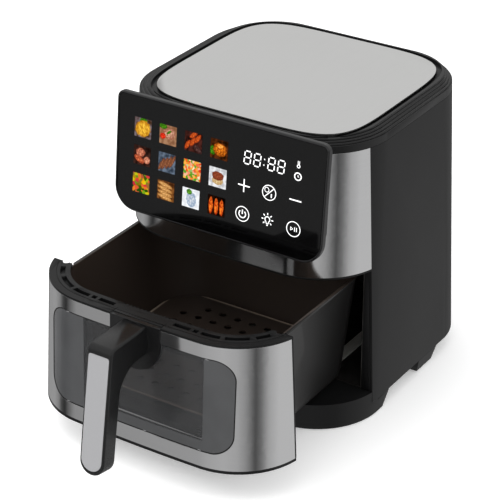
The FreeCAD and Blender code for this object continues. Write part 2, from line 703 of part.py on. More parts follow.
# ------------------------------------------------------------ control panel
def panel_place(shape, depth=0.0):
    """Moves a shape drawn upright at y = 0, z = 0 onto the leaning panel, depth behind its face."""
    shape.translate(Vector(0, depth, 0))
    shape.rotate(Vector(0, 0, 0), Vector(1, 0, 0), -S.panel_tilt)
    shape.translate(Vector(0, front_y + S.panel_foot_depth, S.panel_foot_height))
    return shape


def panel_slab(shrink, thickness, depth):
    """A slice of the panel's outline, shrink inside its edge."""
    loop = rounded_loop(S.panel_half_width - shrink, shrink, S.panel_length - shrink,
                        max(S.panel_low_corner - shrink, 1), max(S.panel_top_corner - shrink, 1), 0)
    loop.rotate(Vector(0, 0, 0), Vector(1, 0, 0), 90)
    return panel_place(extrude(loop, Vector(0, thickness, 0)), depth)


def panel_tray():
    """Tray with the visible frame round the touch glass."""
    depth = S.panel_thickness
    tray = panel_slab(0, depth, 0)
    front = [edge for edge in tray.Edges if on_panel_face(edge)]
    tray = tray.makeChamfer(S.panel_wall * 0.4, front)
    return tray.cut(panel_slab(S.panel_wall, depth - 1.5, -0.01)).cut(panel_cable())


def on_panel_face(edge):
    """True for an edge that lies in the panel's front plane."""
    normal = Rotation(Vector(1, 0, 0), -S.panel_tilt).multVec(Vector(0, 1, 0))
    foot = Vector(0, front_y + S.panel_foot_depth, S.panel_foot_height)
    return all(abs((vertex.Point - foot).dot(normal)) < 0.01 for vertex in edge.Vertexes)


def panel_cable():
    """The square passage for the panel's cable."""
    reach = S.cable_half_width
    return block(-reach, reach, -FAR, fan_y, S.cable_z - reach, S.cable_z + reach)


def panel_glass():
    return panel_slab(S.panel_wall + S.panel_glass_gap, S.panel_glass_thickness, 0.2)


def display_board():
    board = panel_slab(S.panel_wall + 3, S.board_thickness, S.panel_glass_thickness + 0.6)
    return board


def panel_bracket():
    """Wedge between the panel and the steel front."""
    wedge = panel_slab(S.bracket_margin, 30, S.panel_thickness)
    wedge = wedge.cut(band(S.skirt_height, FAR / 4, -S.skin_gap))
    wedge = wedge.cut(front_half(FAR, skin_high - 6, FAR))
    return wedge.cut(panel_cable())


# ------------------------------------------------------------ drawer front
def drawer_band(low, high, inset_low=0.0, inset_high=None):
    """A slice of the closed drawer front, which shares the housing's outline."""
    return band(low, high, inset_low, inset_high).common(front_half(seam_y - S.drawer_gap, 0, FAR))


def window_prism(grow):
    return upright_window(S.window_half_width + grow, S.window_low - grow, S.window_top + grow,
                          S.window_corner + grow)


def drawer_skin():
    """Brushed steel of the drawer, cut out for the window and the handle boss."""
    low = S.drawer_low + S.trim_height
    skin = drawer_band(low, S.drawer_skin_top).cut(band(low - 1, S.drawer_skin_top + 1, S.skin_thickness))
    skin = skin.common(front_half(skin_end_y, 0, FAR))
    return skin.cut(window_prism(0)).cut(boss_outline(S.fit_gap, -FAR, seam_y))


def drawer_frame():
    """Black plastic front behind the steel, with a ledge for the outer glass and a seat for the boss."""
    top = S.rim_top - S.rim_thickness
    low = S.drawer_low + S.trim_height
    ring = drawer_band(low, top).cut(band(low - 1, top + 1, frame_inset + S.drawer_wall))
    skin_room = band(low - 1, top + 1, -5).cut(band(low - 2, top + 2, frame_inset))
    ring = ring.cut(skin_room.common(front_half(skin_end_y + S.fit_gap, 0, FAR)))
    skin_side = band(low - 2, top + 2, -5).cut(band(low - 3, top + 3, boss_seat))
    seats = window_prism(0).fuse(boss_outline(0, -FAR, seam_y))
    frame = ring.cut(seats.common(skin_side))
    hole = window_prism(-S.window_ledge).cut(boss_outline(0, -FAR, seam_y))
    frame = frame.cut(hole)
    for x, z in handle_screw_places():
        frame = frame.cut(Part.makeCylinder(S.screw_radius, FAR, Vector(x, -FAR / 2, z), Vector(0, 1, 0)))
    return frame


def handle_screw_places():
    """Two screws, one above the other, that pull the handle onto the frame."""
    return [(0, S.handle_top - 9), (0, S.handle_top - S.arm_height + 8)]


def window_glass():
    glass = window_prism(-S.fit_gap).common(drawer_band(S.window_low - 2, S.window_top + 2, S.window_sink))
    glass = glass.cut(band(S.window_low - 3, S.window_top + 3, S.window_sink + S.window_thickness))
    return glass.cut(boss_outline(S.fit_gap, -FAR, seam_y))


def handle_boss():
    """U-shaped black plate that carries the handle between the two halves of the steel."""
    low, top = S.boss_low - 2, S.rim_top - S.fit_gap
    plate = band(low, top, -S.boss_proud).cut(band(low - 1, top + 1, boss_seat))
    plate = plate.common(boss_outline(0, -FAR, seam_y))
    for x, z in handle_screw_places():
        plate = plate.cut(Part.makeCylinder(S.screw_radius, FAR, Vector(x, -FAR / 2, z), Vector(0, 1, 0)))
    return plate


def bottom_trim():
    """Black strip that closes the drawer front under the steel."""
    low, high = S.drawer_low, S.drawer_low + S.trim_height
    return drawer_band(low, high).cut(band(low - 1, high + 1, frame_inset + S.drawer_wall))


# How far each vent slot starts and ends along the rim, from the middle of the front.
# The first three go right through, over the space between the frame and the pan.
VENT_SLOTS = [(35.0, 54.0), (57.5, 63.0), (66.5, 87.0), (91.5, 116.0), (122.0, 137.5)]
THROUGH_SLOTS = 3


def vent_rim():
    """Black top rim of the drawer front with uneven slots round it and a hook at each end."""
    low, high = S.rim_top - S.rim_thickness, S.rim_top
    rim = drawer_band(low, high).cut(band(low - 1, high + 1, S.rim_width))
    skin_room = band(low - 1, S.drawer_skin_top, -5).cut(band(low - 2, high, frame_inset))
    rim = rim.cut(skin_room.common(front_half(skin_end_y + S.fit_gap, 0, FAR)))
    lane = drawer_band(low - 1, high + 1, S.slot_near).cut(band(low - 2, high + 2, S.slot_far))
    for side in (-1, 1):
        for index, (start, end) in enumerate(VENT_SLOTS):
            bottom = low - 2 if index < THROUGH_SLOTS else low + S.slot_floor
            rim = rim.cut(lane.common(rim_span(side, start, end, bottom, high + 2)))
        notch_x = side * (S.base_half_width - S.side_lean * S.rim_top - S.rim_width + 4)
        notch_base = Vector(notch_x, seam_y, low - S.rim_thickness)
        rim = rim.cut(Part.makeCylinder(4, 4 * S.rim_thickness, notch_base))
    boss_back = front_y + S.front_lean * S.rim_top + boss_seat + 3 * S.fit_gap
    rim = rim.cut(rim_lines(high))
    return rim.cut(boss_outline(S.fit_gap, -FAR, boss_back))


def rim_lines(high):
    """Fine cuts in the rim's top: a line all along it, the seams of the cap, and a row of small notches."""
    low = high - S.groove_size
    over = high + 1
    groove = band(low, over, S.groove_inset).cut(band(low - 1, over + 1, S.groove_inset + S.groove_size))
    cuts = [groove.common(front_half(seam_y - 2 * S.drawer_gap - S.skin_edge, 0, FAR))]
    rim_front = front_y + S.front_lean * S.rim_top
    for side in (-1, 1):
        seam = side * (S.cap_half_width - S.groove_size)
        cuts.append(block(seam - S.groove_size / 2, seam + S.groove_size / 2,
                          -FAR, rim_front + S.slot_near, low, over))
    rim_back = rim_front + S.rim_width
    reach = int((S.cap_half_width - S.tooth_pitch / 4) / S.tooth_pitch)
    for index in range(-reach, reach + 1):
        middle = index * S.tooth_pitch
        cuts.append(block(middle - S.tooth_pitch / 4, middle + S.tooth_pitch / 4,
                          rim_back - S.tooth_depth, FAR, high - S.tooth_depth, over))
    return Part.makeCompound(cuts)


def rim_span(side, start, end, low, high):
    """The part of the rim between two distances from its middle: square ends, radial in the corner."""
    corner_x = S.base_half_width - S.side_lean * S.rim_top - S.front_corner
    corner_y = front_y + S.front_lean * S.rim_top + S.front_corner
    lane_radius = S.front_corner - (S.slot_near + S.slot_far) / 2
    pieces = []
    if start < corner_x:
        x_low, x_high = sorted((side * start, side * min(end, corner_x)))
        pieces.append(block(x_low, x_high, -FAR, corner_y, low, high))
    if end > corner_x:
        centre = Vector(side * corner_x, corner_y, low)
        rays = []
        for distance in (max(start, corner_x), end):
            turn = (distance - corner_x) / lane_radius
            rays.append(centre + Vector(side * math.sin(turn), -math.cos(turn), 0) * 2 * S.front_corner)
        wedge = Part.makePolygon([centre, rays[0], rays[1], centre])
        pieces.append(extrude(wedge, Vector(0, 0, high - low)))
    return pieces[0] if len(pieces) == 1 else pieces[0].fuse(pieces[1])


# ------------------------------------------------------------------ handle
def handle_point(down, back):
    """A point of the grip's side view, measured along and behind its sloping front line."""
    slope = math.radians(S.grip_slope)
    top_z = S.handle_top - S.elbow_radius
    length = (top_z - S.handle_low) / math.cos(slope)
    tip_y = front_y - S.handle_reach
    y = tip_y + (length - down) * math.sin(slope) + back * math.cos(slope)
    z = top_z - down * math.cos(slope) + back * math.sin(slope)
    return Vector(0, y, z)


def handle_side_view():
    """Arm and grip in the YZ plane: a level arm, an outer elbow, a wide inner bend."""
    slope = math.radians(S.grip_slope)
    length = (S.handle_top - S.elbow_radius - S.handle_low) / math.cos(slope)
    root_y = front_y + S.front_lean * S.handle_top - S.boss_proud
    root_high = Vector(0, root_y, S.handle_top)
    arm_low = S.handle_top - S.arm_height
    root_low = Vector(0, root_y - 1, arm_low)
    front_high = handle_point(0, 0)
    elbow = Vector(0, front_high.y + S.elbow_radius, S.handle_top)
    elbow_mid = Vector(0, front_high.y + S.elbow_radius * 0.27, S.handle_top - S.elbow_radius * 0.27)
    front_low = handle_point(length + S.handle_half_width, 0)
    rear_low = handle_point(length + S.handle_half_width, S.grip_thickness)
    down = (S.handle_top - S.elbow_radius - arm_low) / math.cos(slope)
    inner = handle_point(down + S.grip_thickness * math.tan(slope), S.grip_thickness)
    bend = S.grip_fillet
    rear_high = handle_point(down + S.grip_thickness * math.tan(slope) + bend, S.grip_thickness)
    under = Vector(0, inner.y + bend, arm_low)
    bend_mid = (rear_high + under) * 0.5
    bend_mid = bend_mid + (inner - bend_mid) * 0.42
    return Part.Wire([
        line(root_high, elbow),
        arc(elbow, elbow_mid, front_high),
        line(front_high, front_low),
        line(front_low, rear_low),
        line(rear_low, rear_high),
        arc(rear_high, bend_mid, under),
        line(under, root_low),
        line(root_low, root_high),
    ])


def grip_front_view(half, low, high):
    """An upright outline with a half-round lower end, as a wire in the XZ plane."""
    centre = low + half
    return Part.Wire([
        line(Vector(-half, 0, high), Vector(-half, 0, centre)),
        arc(Vector(-half, 0, centre), Vector(0, 0, low), Vector(half, 0, centre)),
        line(Vector(half, 0, centre), Vector(half, 0, high)),
        line(Vector(half, 0, high), Vector(-half, 0, high)),
    ])


def square_to_grip(shape):
    """Leans a shape drawn upright at y = 0 so that it stands square to the grip's front face."""
    face = handle_point(0, 0)
    shape.translate(Vector(0, 0, -face.z))
    shape.rotate(Vector(0, 0, 0), Vector(1, 0, 0), -S.grip_slope)
    shape.translate(Vector(0, face.y, face.z))
    return shape


def before_leaning(height):
    """The height that a point of the grip's face has before square_to_grip leans it."""
    face = handle_point(0, 0)
    return face.z - (face.z - height) / math.cos(math.radians(S.grip_slope))


def inlay_prism(grow, depth, proud):
    """The inlay's outline on the sloping face of the grip, grown by grow."""
    low, high = before_leaning(S.inlay_low) - grow, before_leaning(S.inlay_top) + grow
    prism = extrude(grip_front_view(S.inlay_half_width + grow, low, high), Vector(0, depth, 0))
    corners = [edge for edge in prism.Edges if abs(edge.BoundBox.ZMin - high) < 0.01
               and edge.BoundBox.YLength > depth / 2]
    prism = prism.makeFillet(2.5, corners)
    prism.translate(Vector(0, -proud, 0))
    return square_to_grip(prism)


def handle():
    """Black handle: the side view cut to a front view with a half-round end, with rounded edges."""
    side = extrude(handle_side_view(), Vector(2 * S.handle_half_width, 0, 0))
    side.translate(Vector(-S.handle_half_width, 0, 0))
    outline = grip_front_view(S.handle_half_width, before_leaning(S.handle_low), FAR)
    front = extrude(outline, Vector(0, -2 * FAR, 0))
    front.translate(Vector(0, FAR, 0))
    body = side.common(square_to_grip(front)).removeSplitter()
    root_y = front_y + S.front_lean * S.handle_top - S.boss_proud
    body = body.makeFillet(S.handle_round, [edge for edge in body.Edges if not crosses_handle(edge, root_y)])
    body = body.cut(band(S.handle_low, FAR / 4, -S.boss_proud))
    for x, z in handle_screw_places():
        body = body.cut(Part.makeCylinder(S.screw_radius, 22, Vector(x, root_y - 18, z), Vector(0, 1, 0)))
    return body.cut(inlay_prism(S.skin_gap, 20, 5).common(inlay_pocket()))


def crosses_handle(edge, root_y):
    """True for the edges that stay sharp: those at the root, those across the handle, and those
    where the half-round end meets the flat sides."""
    box = edge.BoundBox
    at_root = box.YMax > root_y - 2 and box.YLength < 2
    across = box.XLength > S.handle_half_width * 1.9 and box.YLength + box.ZLength < S.handle_half_width / 2
    joint = isinstance(edge.Curve, Part.Line) and box.ZMax < S.handle_low + 2 * S.handle_half_width and (
        box.YLength > S.grip_thickness / 2)
    return at_root or across or joint


def inlay_pocket():
    """A layer under the grip's face, as deep as the inlay."""
    return square_to_grip(block(-FAR, FAR, -5, S.inlay_thickness, -FAR, FAR))


def handle_inlay():
    return inlay_prism(0, S.inlay_thickness + 0.3, 0.3)


def handle_screws():
    screws = []
    for x, z in handle_screw_places():
        back_y = front_y + S.front_lean * z + frame_inset + S.drawer_wall + 2 * S.fit_gap
        stem = Part.makeCylinder(S.screw_radius - 0.1, 20, Vector(x, back_y - 20, z), Vector(0, 1, 0))
        screws.append(stem.fuse(Part.makeCylinder(S.screw_head, 2.4, Vector(x, back_y, z), Vector(0, 1, 0))))
    return Part.makeCompound(screws)


# --------------------------------------------------------------------- pan
def pan_loop(z, shrink=0.0):
    """The pan's outline: tapered walls that bend into the floor through a quarter round."""
    share = (S.pan_top - z) / (S.pan_top - S.pan_low)
    bend = 0.0
    rise = z - S.pan_low
    if rise < S.pan_bend:
        bend = S.pan_bend - math.sqrt(S.pan_bend ** 2 - (S.pan_bend - max(rise, 0)) ** 2)
    half = S.pan_half_width - S.pan_taper * share - bend - shrink
    front = front_y + S.front_lean * S.pan_top + pan_front_inset + S.pan_front_taper * share
    rear = front_y + S.pan_rear - S.pan_front_taper * share
    corner = S.pan_corner - bend - shrink
    return rounded_loop(half, front + bend + shrink, rear - bend - shrink, corner, corner, z)


def pan_stack(shrink, floor):
    """Solid of the pan's inside or outside, as slices between chosen heights, raised by floor."""
    shares = [0.0, 0.04, 0.15, 0.325, 0.6, 1.0]
    heights = [S.pan_low + share * S.pan_bend for share in shares] + [S.pan_top]
    loops = [pan_loop(z, shrink) for z in heights]
    return Part.makeLoft(loops, True, True).translated(Vector(0, 0, floor))


def pan_hanger():
    """Ribbed ring that carries the pan on the frame, under the vented rim."""
    low, high = S.rim_top - S.rim_thickness - S.hanger_height, S.rim_top - S.rim_thickness
    inner = S.rim_width
    ring = drawer_band(low, high, inner - 4).cut(band(low - 1, high + 1, inner))
    lane = drawer_band(low, high, frame_inset + S.drawer_wall).cut(band(low - 1, high + 1, inner - 3))
    for side in (-1, 1):
        for x in (S.cap_half_width + 8, S.window_half_width - 14):
            rib = block(side * x - 2, side * x + 2, -FAR, seam_y, low, high)
            ring = ring.fuse(lane.common(rib))
    pan_room = extrude(pan_loop(S.pan_top, -S.pan_lip - S.fit_gap), Vector(0, 0, FAR))
    pan_room.translate(Vector(0, 0, low - 1 - S.pan_top))
    return ring.cut(pan_room)


def pan():
    """Coated steel pan with a rolled rim and a window hole in its front wall."""
    shell = pan_stack(0, 0).cut(pan_stack(S.pan_wall, S.pan_wall))
    lip_loop = pan_loop(S.pan_top)
    lip = extrude(pan_loop(S.pan_top - S.pan_lip, -S.pan_lip), Vector(0, 0, S.pan_lip))
    lip = lip.cut(extrude(pan_loop(S.pan_top - S.pan_lip - 1, S.pan_wall), Vector(0, 0, 2 * S.pan_lip)))
    lip = lip.cut(front_half(lip_loop.BoundBox.YMin + S.pan_corner, 0, FAR))
    shell = shell.fuse(lip)
    return shell.cut(inner_window_prism(0))


def inner_window_prism(grow):
    loop = rounded_loop(S.inner_window_half_width + grow, S.inner_window_low - grow,
                        S.inner_window_top + grow, 14 + grow, 14 + grow, 0)
    loop.rotate(Vector(0, 0, 0), Vector(1, 0, 0), 90)
    loop.translate(Vector(0, fan_y, 0))
    return extrude(loop, Vector(0, -FAR, 0))


def pan_front_layer(near, far):
    """A leaning layer of the front wall of the pan, between two distances ahead of its face."""
    ends = []
    for z in (S.inner_window_low - 20, S.pan_top):
        share = (S.pan_top - z) / (S.pan_top - S.pan_low)
        y = front_y + S.front_lean * S.pan_top + pan_front_inset + S.pan_front_taper * share
        ends.append(Part.makePolygon([Vector(-FAR, y - far, z), Vector(FAR, y - far, z),
                                      Vector(FAR, y - near, z), Vector(-FAR, y - near, z),
                                      Vector(-FAR, y - far, z)]))
    return Part.makeLoft(ends, True, True)


def window_gasket():
    """Silicone ring between the pan and its window."""
    ring = inner_window_prism(6).cut(inner_window_prism(0))
    return ring.common(pan_front_layer(0, 1.5))


def inner_glass():
    return inner_window_prism(6).common(pan_front_layer(1.5, 1.5 + S.inner_window_thickness))


def crisper_outline(z, shrink):
    return pan_loop(z, shrink + S.pan_wall)


def crisper_plate():
    """Perforated plate with a turned-down rim, standing in the pan on its bumpers."""
    low, high = S.crisper_low, S.crisper_low + S.crisper_height
    slab = extrude(crisper_outline(low, S.crisper_gap), Vector(0, 0, S.crisper_height))
    inside = extrude(crisper_outline(low, S.crisper_gap + S.crisper_sheet),
                     Vector(0, 0, S.crisper_height - S.crisper_sheet))
    plate = slab.cut(inside)
    box = plate.BoundBox
    middle_y = (box.YMin + box.YMax) / 2
    columns = int((box.XMax - 16) // S.crisper_pitch)
    rows = int((box.YLength / 2 - 16) // S.crisper_pitch)
    holes = []
    for column in range(-columns, columns + 1):
        for line_number in range(-rows, rows + 1):
            if math.hypot(column / (columns + 0.01), line_number / (rows + 0.01)) > 1.25:
                continue
            holes.append(Part.makeCylinder(S.crisper_hole, 4 * S.crisper_sheet,
                                           Vector(column * S.crisper_pitch,
                                                  middle_y + line_number * S.crisper_pitch,
                                                  high - 2 * S.crisper_sheet)))
    return plate.cut(Part.makeCompound(holes))


def crisper_bumpers():
    """Silicone feet at the middle of the plate's edges that centre it and carry it."""
    low = S.crisper_low
    loop = crisper_outline(low, S.crisper_gap)
    box = loop.BoundBox
    middle_y = (box.YMin + box.YMax) / 2
    feet = []
    floor = S.pan_low + S.pan_wall
    for x, y in ((box.XMin + 26, middle_y), (box.XMax - 26, middle_y),
                 (0, box.YMin + 26), (0, box.YMax - 26)):
        foot_height = low + S.crisper_height - S.crisper_sheet - floor
        feet.append(Part.makeCylinder(5, foot_height, Vector(x, y, floor)))
    return Part.makeCompound(feet)


# -------------------------------------------------------------------- fan
def fan_wheel(radius, low, height, blades, disc_low):
    """A disc with upright blades on a hub that grips the shaft."""
    bore = S.shaft_radius
    wheel = tube(radius, bore, 1.2, Vector(0, fan_y, disc_low))
    wheel = wheel.fuse(tube(bore + 5, bore, height, Vector(0, fan_y, low)))
    for index in range(blades):
        blade = block(bore + 8, radius - 1, -0.6, 0.6, 0, height)
        blade.rotate(Vector(radius * 0.45, 0, 0), Vector(0, 0, 1), 22)
        blade.rotate(Vector(0, 0, 0), Vector(0, 0, 1), 360 * index / blades)
        blade.translate(Vector(0, fan_y, low))
        wheel = wheel.fuse(blade)
    return wheel


def hot_fan():
    return fan_wheel(S.hot_fan_radius, hot_fan_low, S.blade_height, 12, hot_fan_low + S.blade_height - 1.2)


def cooling_fan():
    return fan_wheel(S.cool_fan_radius, cool_fan_low, S.blade_height, 14, cool_fan_low)


def motor_screw_places():
    reach = S.motor_radius - 7
    return [(-reach, fan_y), (reach, fan_y)]


def fan_motor():
    """Motor case with a stator bore and seats for two bearings."""
    case = tube(S.motor_radius, S.bearing_radius, S.motor_height, Vector(0, fan_y, motor_low))
    case = case.makeFillet(2, [edge for edge in case.Edges if edge.BoundBox.XLength > 2 * S.motor_radius - 1
                               and edge.BoundBox.ZLength < 0.01])
    for x, y in motor_screw_places():
        case = case.cut(Part.makeCylinder(S.screw_radius, 8, Vector(x, y, motor_low - 1)))
    return case


# ---------------------------------------------------------- build the document
solid("outer_shell", outer_shell())
solid("top_rim", top_rim())
solid("top_plate", top_plate())
solid("upper_skin", upper_skin())
solid("opening_frame", opening_frame())
solid("front_soffit", front_soffit())
solid("cavity_liner", cavity_liner())
solid("reflector", reflector())
solid("heating_element", heating_element())
solid("element_guard", element_guard())
solid("base_shell", base_shell())
solid("rear_feet", rear_feet())
solid("foot_pads", foot_pads())
solid("base_screws", base_screws())
solid("rear_vent", rear_vent())
solid("cord_gland", cord_gland())
solid("panel_tray", panel_tray())
solid("panel_glass", panel_glass())
solid("display_board", display_board())
solid("panel_bracket", panel_bracket())
solid("fan_motor", fan_motor())
solid("hot_fan", hot_fan())
solid("cooling_fan", cooling_fan())
solid("drawer_skin", drawer_skin(), drawer=True)
solid("drawer_frame", drawer_frame(), drawer=True)
solid("window_glass", window_glass(), drawer=True)
solid("handle_boss", handle_boss(), drawer=True)
solid("bottom_trim", bottom_trim(), drawer=True)
solid("vent_rim", vent_rim(), drawer=True)
solid("handle", handle(), drawer=True)
solid("handle_inlay", handle_inlay(), drawer=True)
solid("handle_screws", handle_screws(), drawer=True)
solid("pan_hanger", pan_hanger(), drawer=True)
solid("pan", pan(), drawer=True)
solid("window_gasket", window_gasket(), drawer=True)
solid("inner_glass", inner_glass(), drawer=True)
solid("crisper_plate", crisper_plate(), drawer=True)
solid("crisper_bumpers", crisper_bumpers(), drawer=True)

# The parts below are plain primitives and booleans, bound to the sheet by expressions
shaft = expression_cylinder("motor_shaft", "Sizes.shaft_radius",
                            MOTOR_TOP + " + 18 - (%s - Sizes.blade_height - 12)" % DRUM_TOP,
                            ("0", FAN_Y, DRUM_TOP + " - Sizes.blade_height - 12"))
keep(shaft, "motor_shaft")

# Rotor on the shaft, between two bearings
rotor = expression_tube("rotor", "Sizes.bearing_radius - 0.5", "Sizes.shaft_radius",
                        "Sizes.motor_height - 2 * Sizes.bearing_height - 2",
                        ("0", FAN_Y, MOTOR_LOW + " + Sizes.bearing_height + 1"))
keep(rotor, "motor_rotor")
bearings = []
for end, low in (("low", MOTOR_LOW), ("high", MOTOR_TOP + " - Sizes.bearing_height")):
    bearings.append(expression_tube("bearing_" + end, "Sizes.bearing_radius",
                                    "Sizes.shaft_radius + Sizes.shaft_gap",
                                    "Sizes.bearing_height", ("0", FAN_Y, low)))
keep(join("Part::MultiFuse", "bearing_set", bearings), "motor_bearings")

# Plate on four legs over the reflector, and the two screws that hold the motor on it
BRACKET_LOW = "(%s - 2)" % MOTOR_LOW
plate = expression_tube("bracket_plate", "Sizes.motor_radius + 16", "Sizes.shaft_radius + 3", "2",
                        ("0", FAN_Y, BRACKET_LOW))
pieces = [plate]
for number, (sign_x, sign_y) in enumerate(((" - ", " - "), (" - ", " + "), (" + ", " - "), (" + ", " + "))):
    reach = "(Sizes.motor_radius + 10) * sqrt(0.5)"
    pieces.append(expression_cylinder("bracket_leg_%d" % number, "4", "Sizes.motor_stand - 2",
                                      ("0" + sign_x + reach, FAN_Y + sign_y + reach, DRUM_TOP)))
legs = join("Part::MultiFuse", "bracket_legs", pieces)
holes = []
screws = []
for number, sign in enumerate(("-", "")):
    x = sign + "(Sizes.motor_radius - 7)"
    holes.append(expression_cylinder("bracket_hole_%d" % number, "Sizes.screw_radius", "8",
                                     (x, FAN_Y, MOTOR_LOW + " - 4")))
    screws.append(expression_cylinder("motor_stem_%d" % number, "Sizes.screw_radius - 0.1", "8",
                                      (x, FAN_Y, BRACKET_LOW)))
    screws.append(expression_cylinder("motor_head_%d" % number, "Sizes.screw_head", "2.2",
                                      (x, FAN_Y, BRACKET_LOW + " - 2.2")))
hole_set = join("Part::MultiFuse", "bracket_holes", holes)
keep(join("Part::Cut", "bracket_set", (legs, hole_set)), "motor_bracket")
keep(join("Part::MultiFuse", "motor_screw_set", screws), "motor_screws")

# Temperature probe through the reflector's lid, beside the element
PROBE_X = "(Sizes.coil_radius + Sizes.coil_tube + Sizes.drum_radius) / 2"
probe_stem = expression_cylinder("probe_stem", "Sizes.probe_radius", DRUM_TOP + " + 6 - Sizes.coil_height",
                                 (PROBE_X, FAN_Y, "Sizes.coil_height"))
probe_head = expression_cylinder("probe_head", "Sizes.probe_radius + 2", "6", (PROBE_X, FAN_Y, DRUM_TOP))
keep(join("Part::MultiFuse", "probe_set", [probe_stem, probe_head]), "temperature_probe")

# Cavity lamp on the roof, over a clear plug that shines through its own hole
LAMP_X = "Sizes.lamp_inset - Sizes.cavity_half_width"
LAMP_Y = SEAM_Y + " + Sizes.lamp_depth"
flange = expression_cylinder("lens_flange", "Sizes.lamp_radius + 3", "1.5", (LAMP_X, LAMP_Y, ROOF_TOP))
plug = expression_cylinder("lens_plug", "Sizes.lamp_radius", "Sizes.liner_sheet + 1",
                           (LAMP_X, LAMP_Y, "Sizes.cavity_top - 1"))
keep(join("Part::MultiFuse", "lens_set", [flange, plug]), "lamp_lens")
socket = expression_cylinder("lamp_socket", "Sizes.lamp_radius", "14", (LAMP_X, LAMP_Y, ROOF_TOP + " + 1.5"))
bulb = expression_cylinder("lamp_bulb", "Sizes.lamp_radius - 4", "20", (LAMP_X, LAMP_Y, ROOF_TOP + " + 1.5"))
keep(join("Part::MultiFuse", "lamp_set", [socket, bulb]), "cavity_lamp")

# Two low plastic rails on the cavity floor that carry the pan
RAIL_FOOT = "(Sizes.cavity_floor + Sizes.liner_sheet)"
rails = []
for name, sign in (("rail_left", "-"), ("rail_right", "")):
    middle = sign + "(Sizes.pan_half_width - Sizes.pan_taper - Sizes.pan_bend - 14)"
    rails.append(expression_box(name, "12", "Sizes.cavity_rear - Sizes.seam_depth - 22",
                                "Sizes.pan_low - Sizes.fit_gap - " + RAIL_FOOT,
                                (middle + " - 6", SEAM_Y + " + 4", RAIL_FOOT)))
keep(join("Part::MultiFuse", "rail_set", rails), "drawer_guides")

# The power board stands at the left of the reflector and carries a relay, a capacitor and a terminal
BOARD_X = "(-Sizes.drum_radius - 24)"
board = expression_box("board_sheet", "Sizes.board_thickness", "110", "84",
                       (BOARD_X, FAN_Y + " - 55", ROOF_TOP + " + 12"))
keep(board, "power_board")
relay = expression_box("relay", "16", "20", "24",
                       (BOARD_X + " + Sizes.board_thickness", FAN_Y + " - 48", ROOF_TOP + " + 66"))
terminal = expression_box("terminal", "12", "34", "14",
                          (BOARD_X + " + Sizes.board_thickness", FAN_Y + " - 20", ROOF_TOP + " + 78"))
capacitor = expression_cylinder("capacitor", "7", "24",
                                (BOARD_X + " + Sizes.board_thickness + 8", FAN_Y + " + 36",
                                 ROOF_TOP + " + 66"))
keep(join("Part::MultiFuse", "board_parts_set", [relay, terminal, capacitor]), "board_components")
cut_out_case = expression_cylinder("cut_out_case", "8", "7",
                                   ("0", FAN_Y + " - Sizes.drum_radius + 14", DRUM_TOP))
cut_out_tabs = expression_box("cut_out_tabs", "6", "0.8", "12",
                              ("-3", FAN_Y + " - Sizes.drum_radius + 14", DRUM_TOP))
keep(join("Part::MultiFuse", "cut_out_set", [cut_out_case, cut_out_tabs]), "thermal_cutout")
sensor = expression_box("sensor_case", "16", "7", "12",
                        ("52", FRONT_Y + " + Sizes.front_lean * Sizes.rim_top + 7",
                         "Sizes.opening_top + Sizes.fit_gap + 2"))
keep(sensor, "drawer_sensor")
magnet = expression_cylinder("magnet", "4", "4",
                             ("60", FRONT_Y + " + Sizes.front_lean * Sizes.rim_top + 10.5"
                              " - Sizes.open_travel", "Sizes.rim_top - Sizes.rim_thickness - 4"))
keep(magnet, "drawer_magnet")

doc.recompute()
failed = [item.Name for item in doc.Objects if "Invalid" in item.State or "Error" in item.State]
if failed:
    raise RuntimeError("failed objects: " + ", ".join(failed))
for node in NODES:
    if node.Shape.isNull() or not node.Shape.isValid():
        raise RuntimeError("bad shape: " + node.Label)
os.makedirs("parts", exist_ok=True)
for node in NODES:
    node.Shape.exportStep("parts/%s.step" % node.Label)
    box = node.Shape.BoundBox
    print("%-18s %d solids  x %7.1f %7.1f  y %7.1f %7.1f  z %6.1f %6.1f" % (
        node.Label, len(node.Shape.Solids), box.XMin, box.XMax, box.YMin, box.YMax, box.ZMin, box.ZMax))
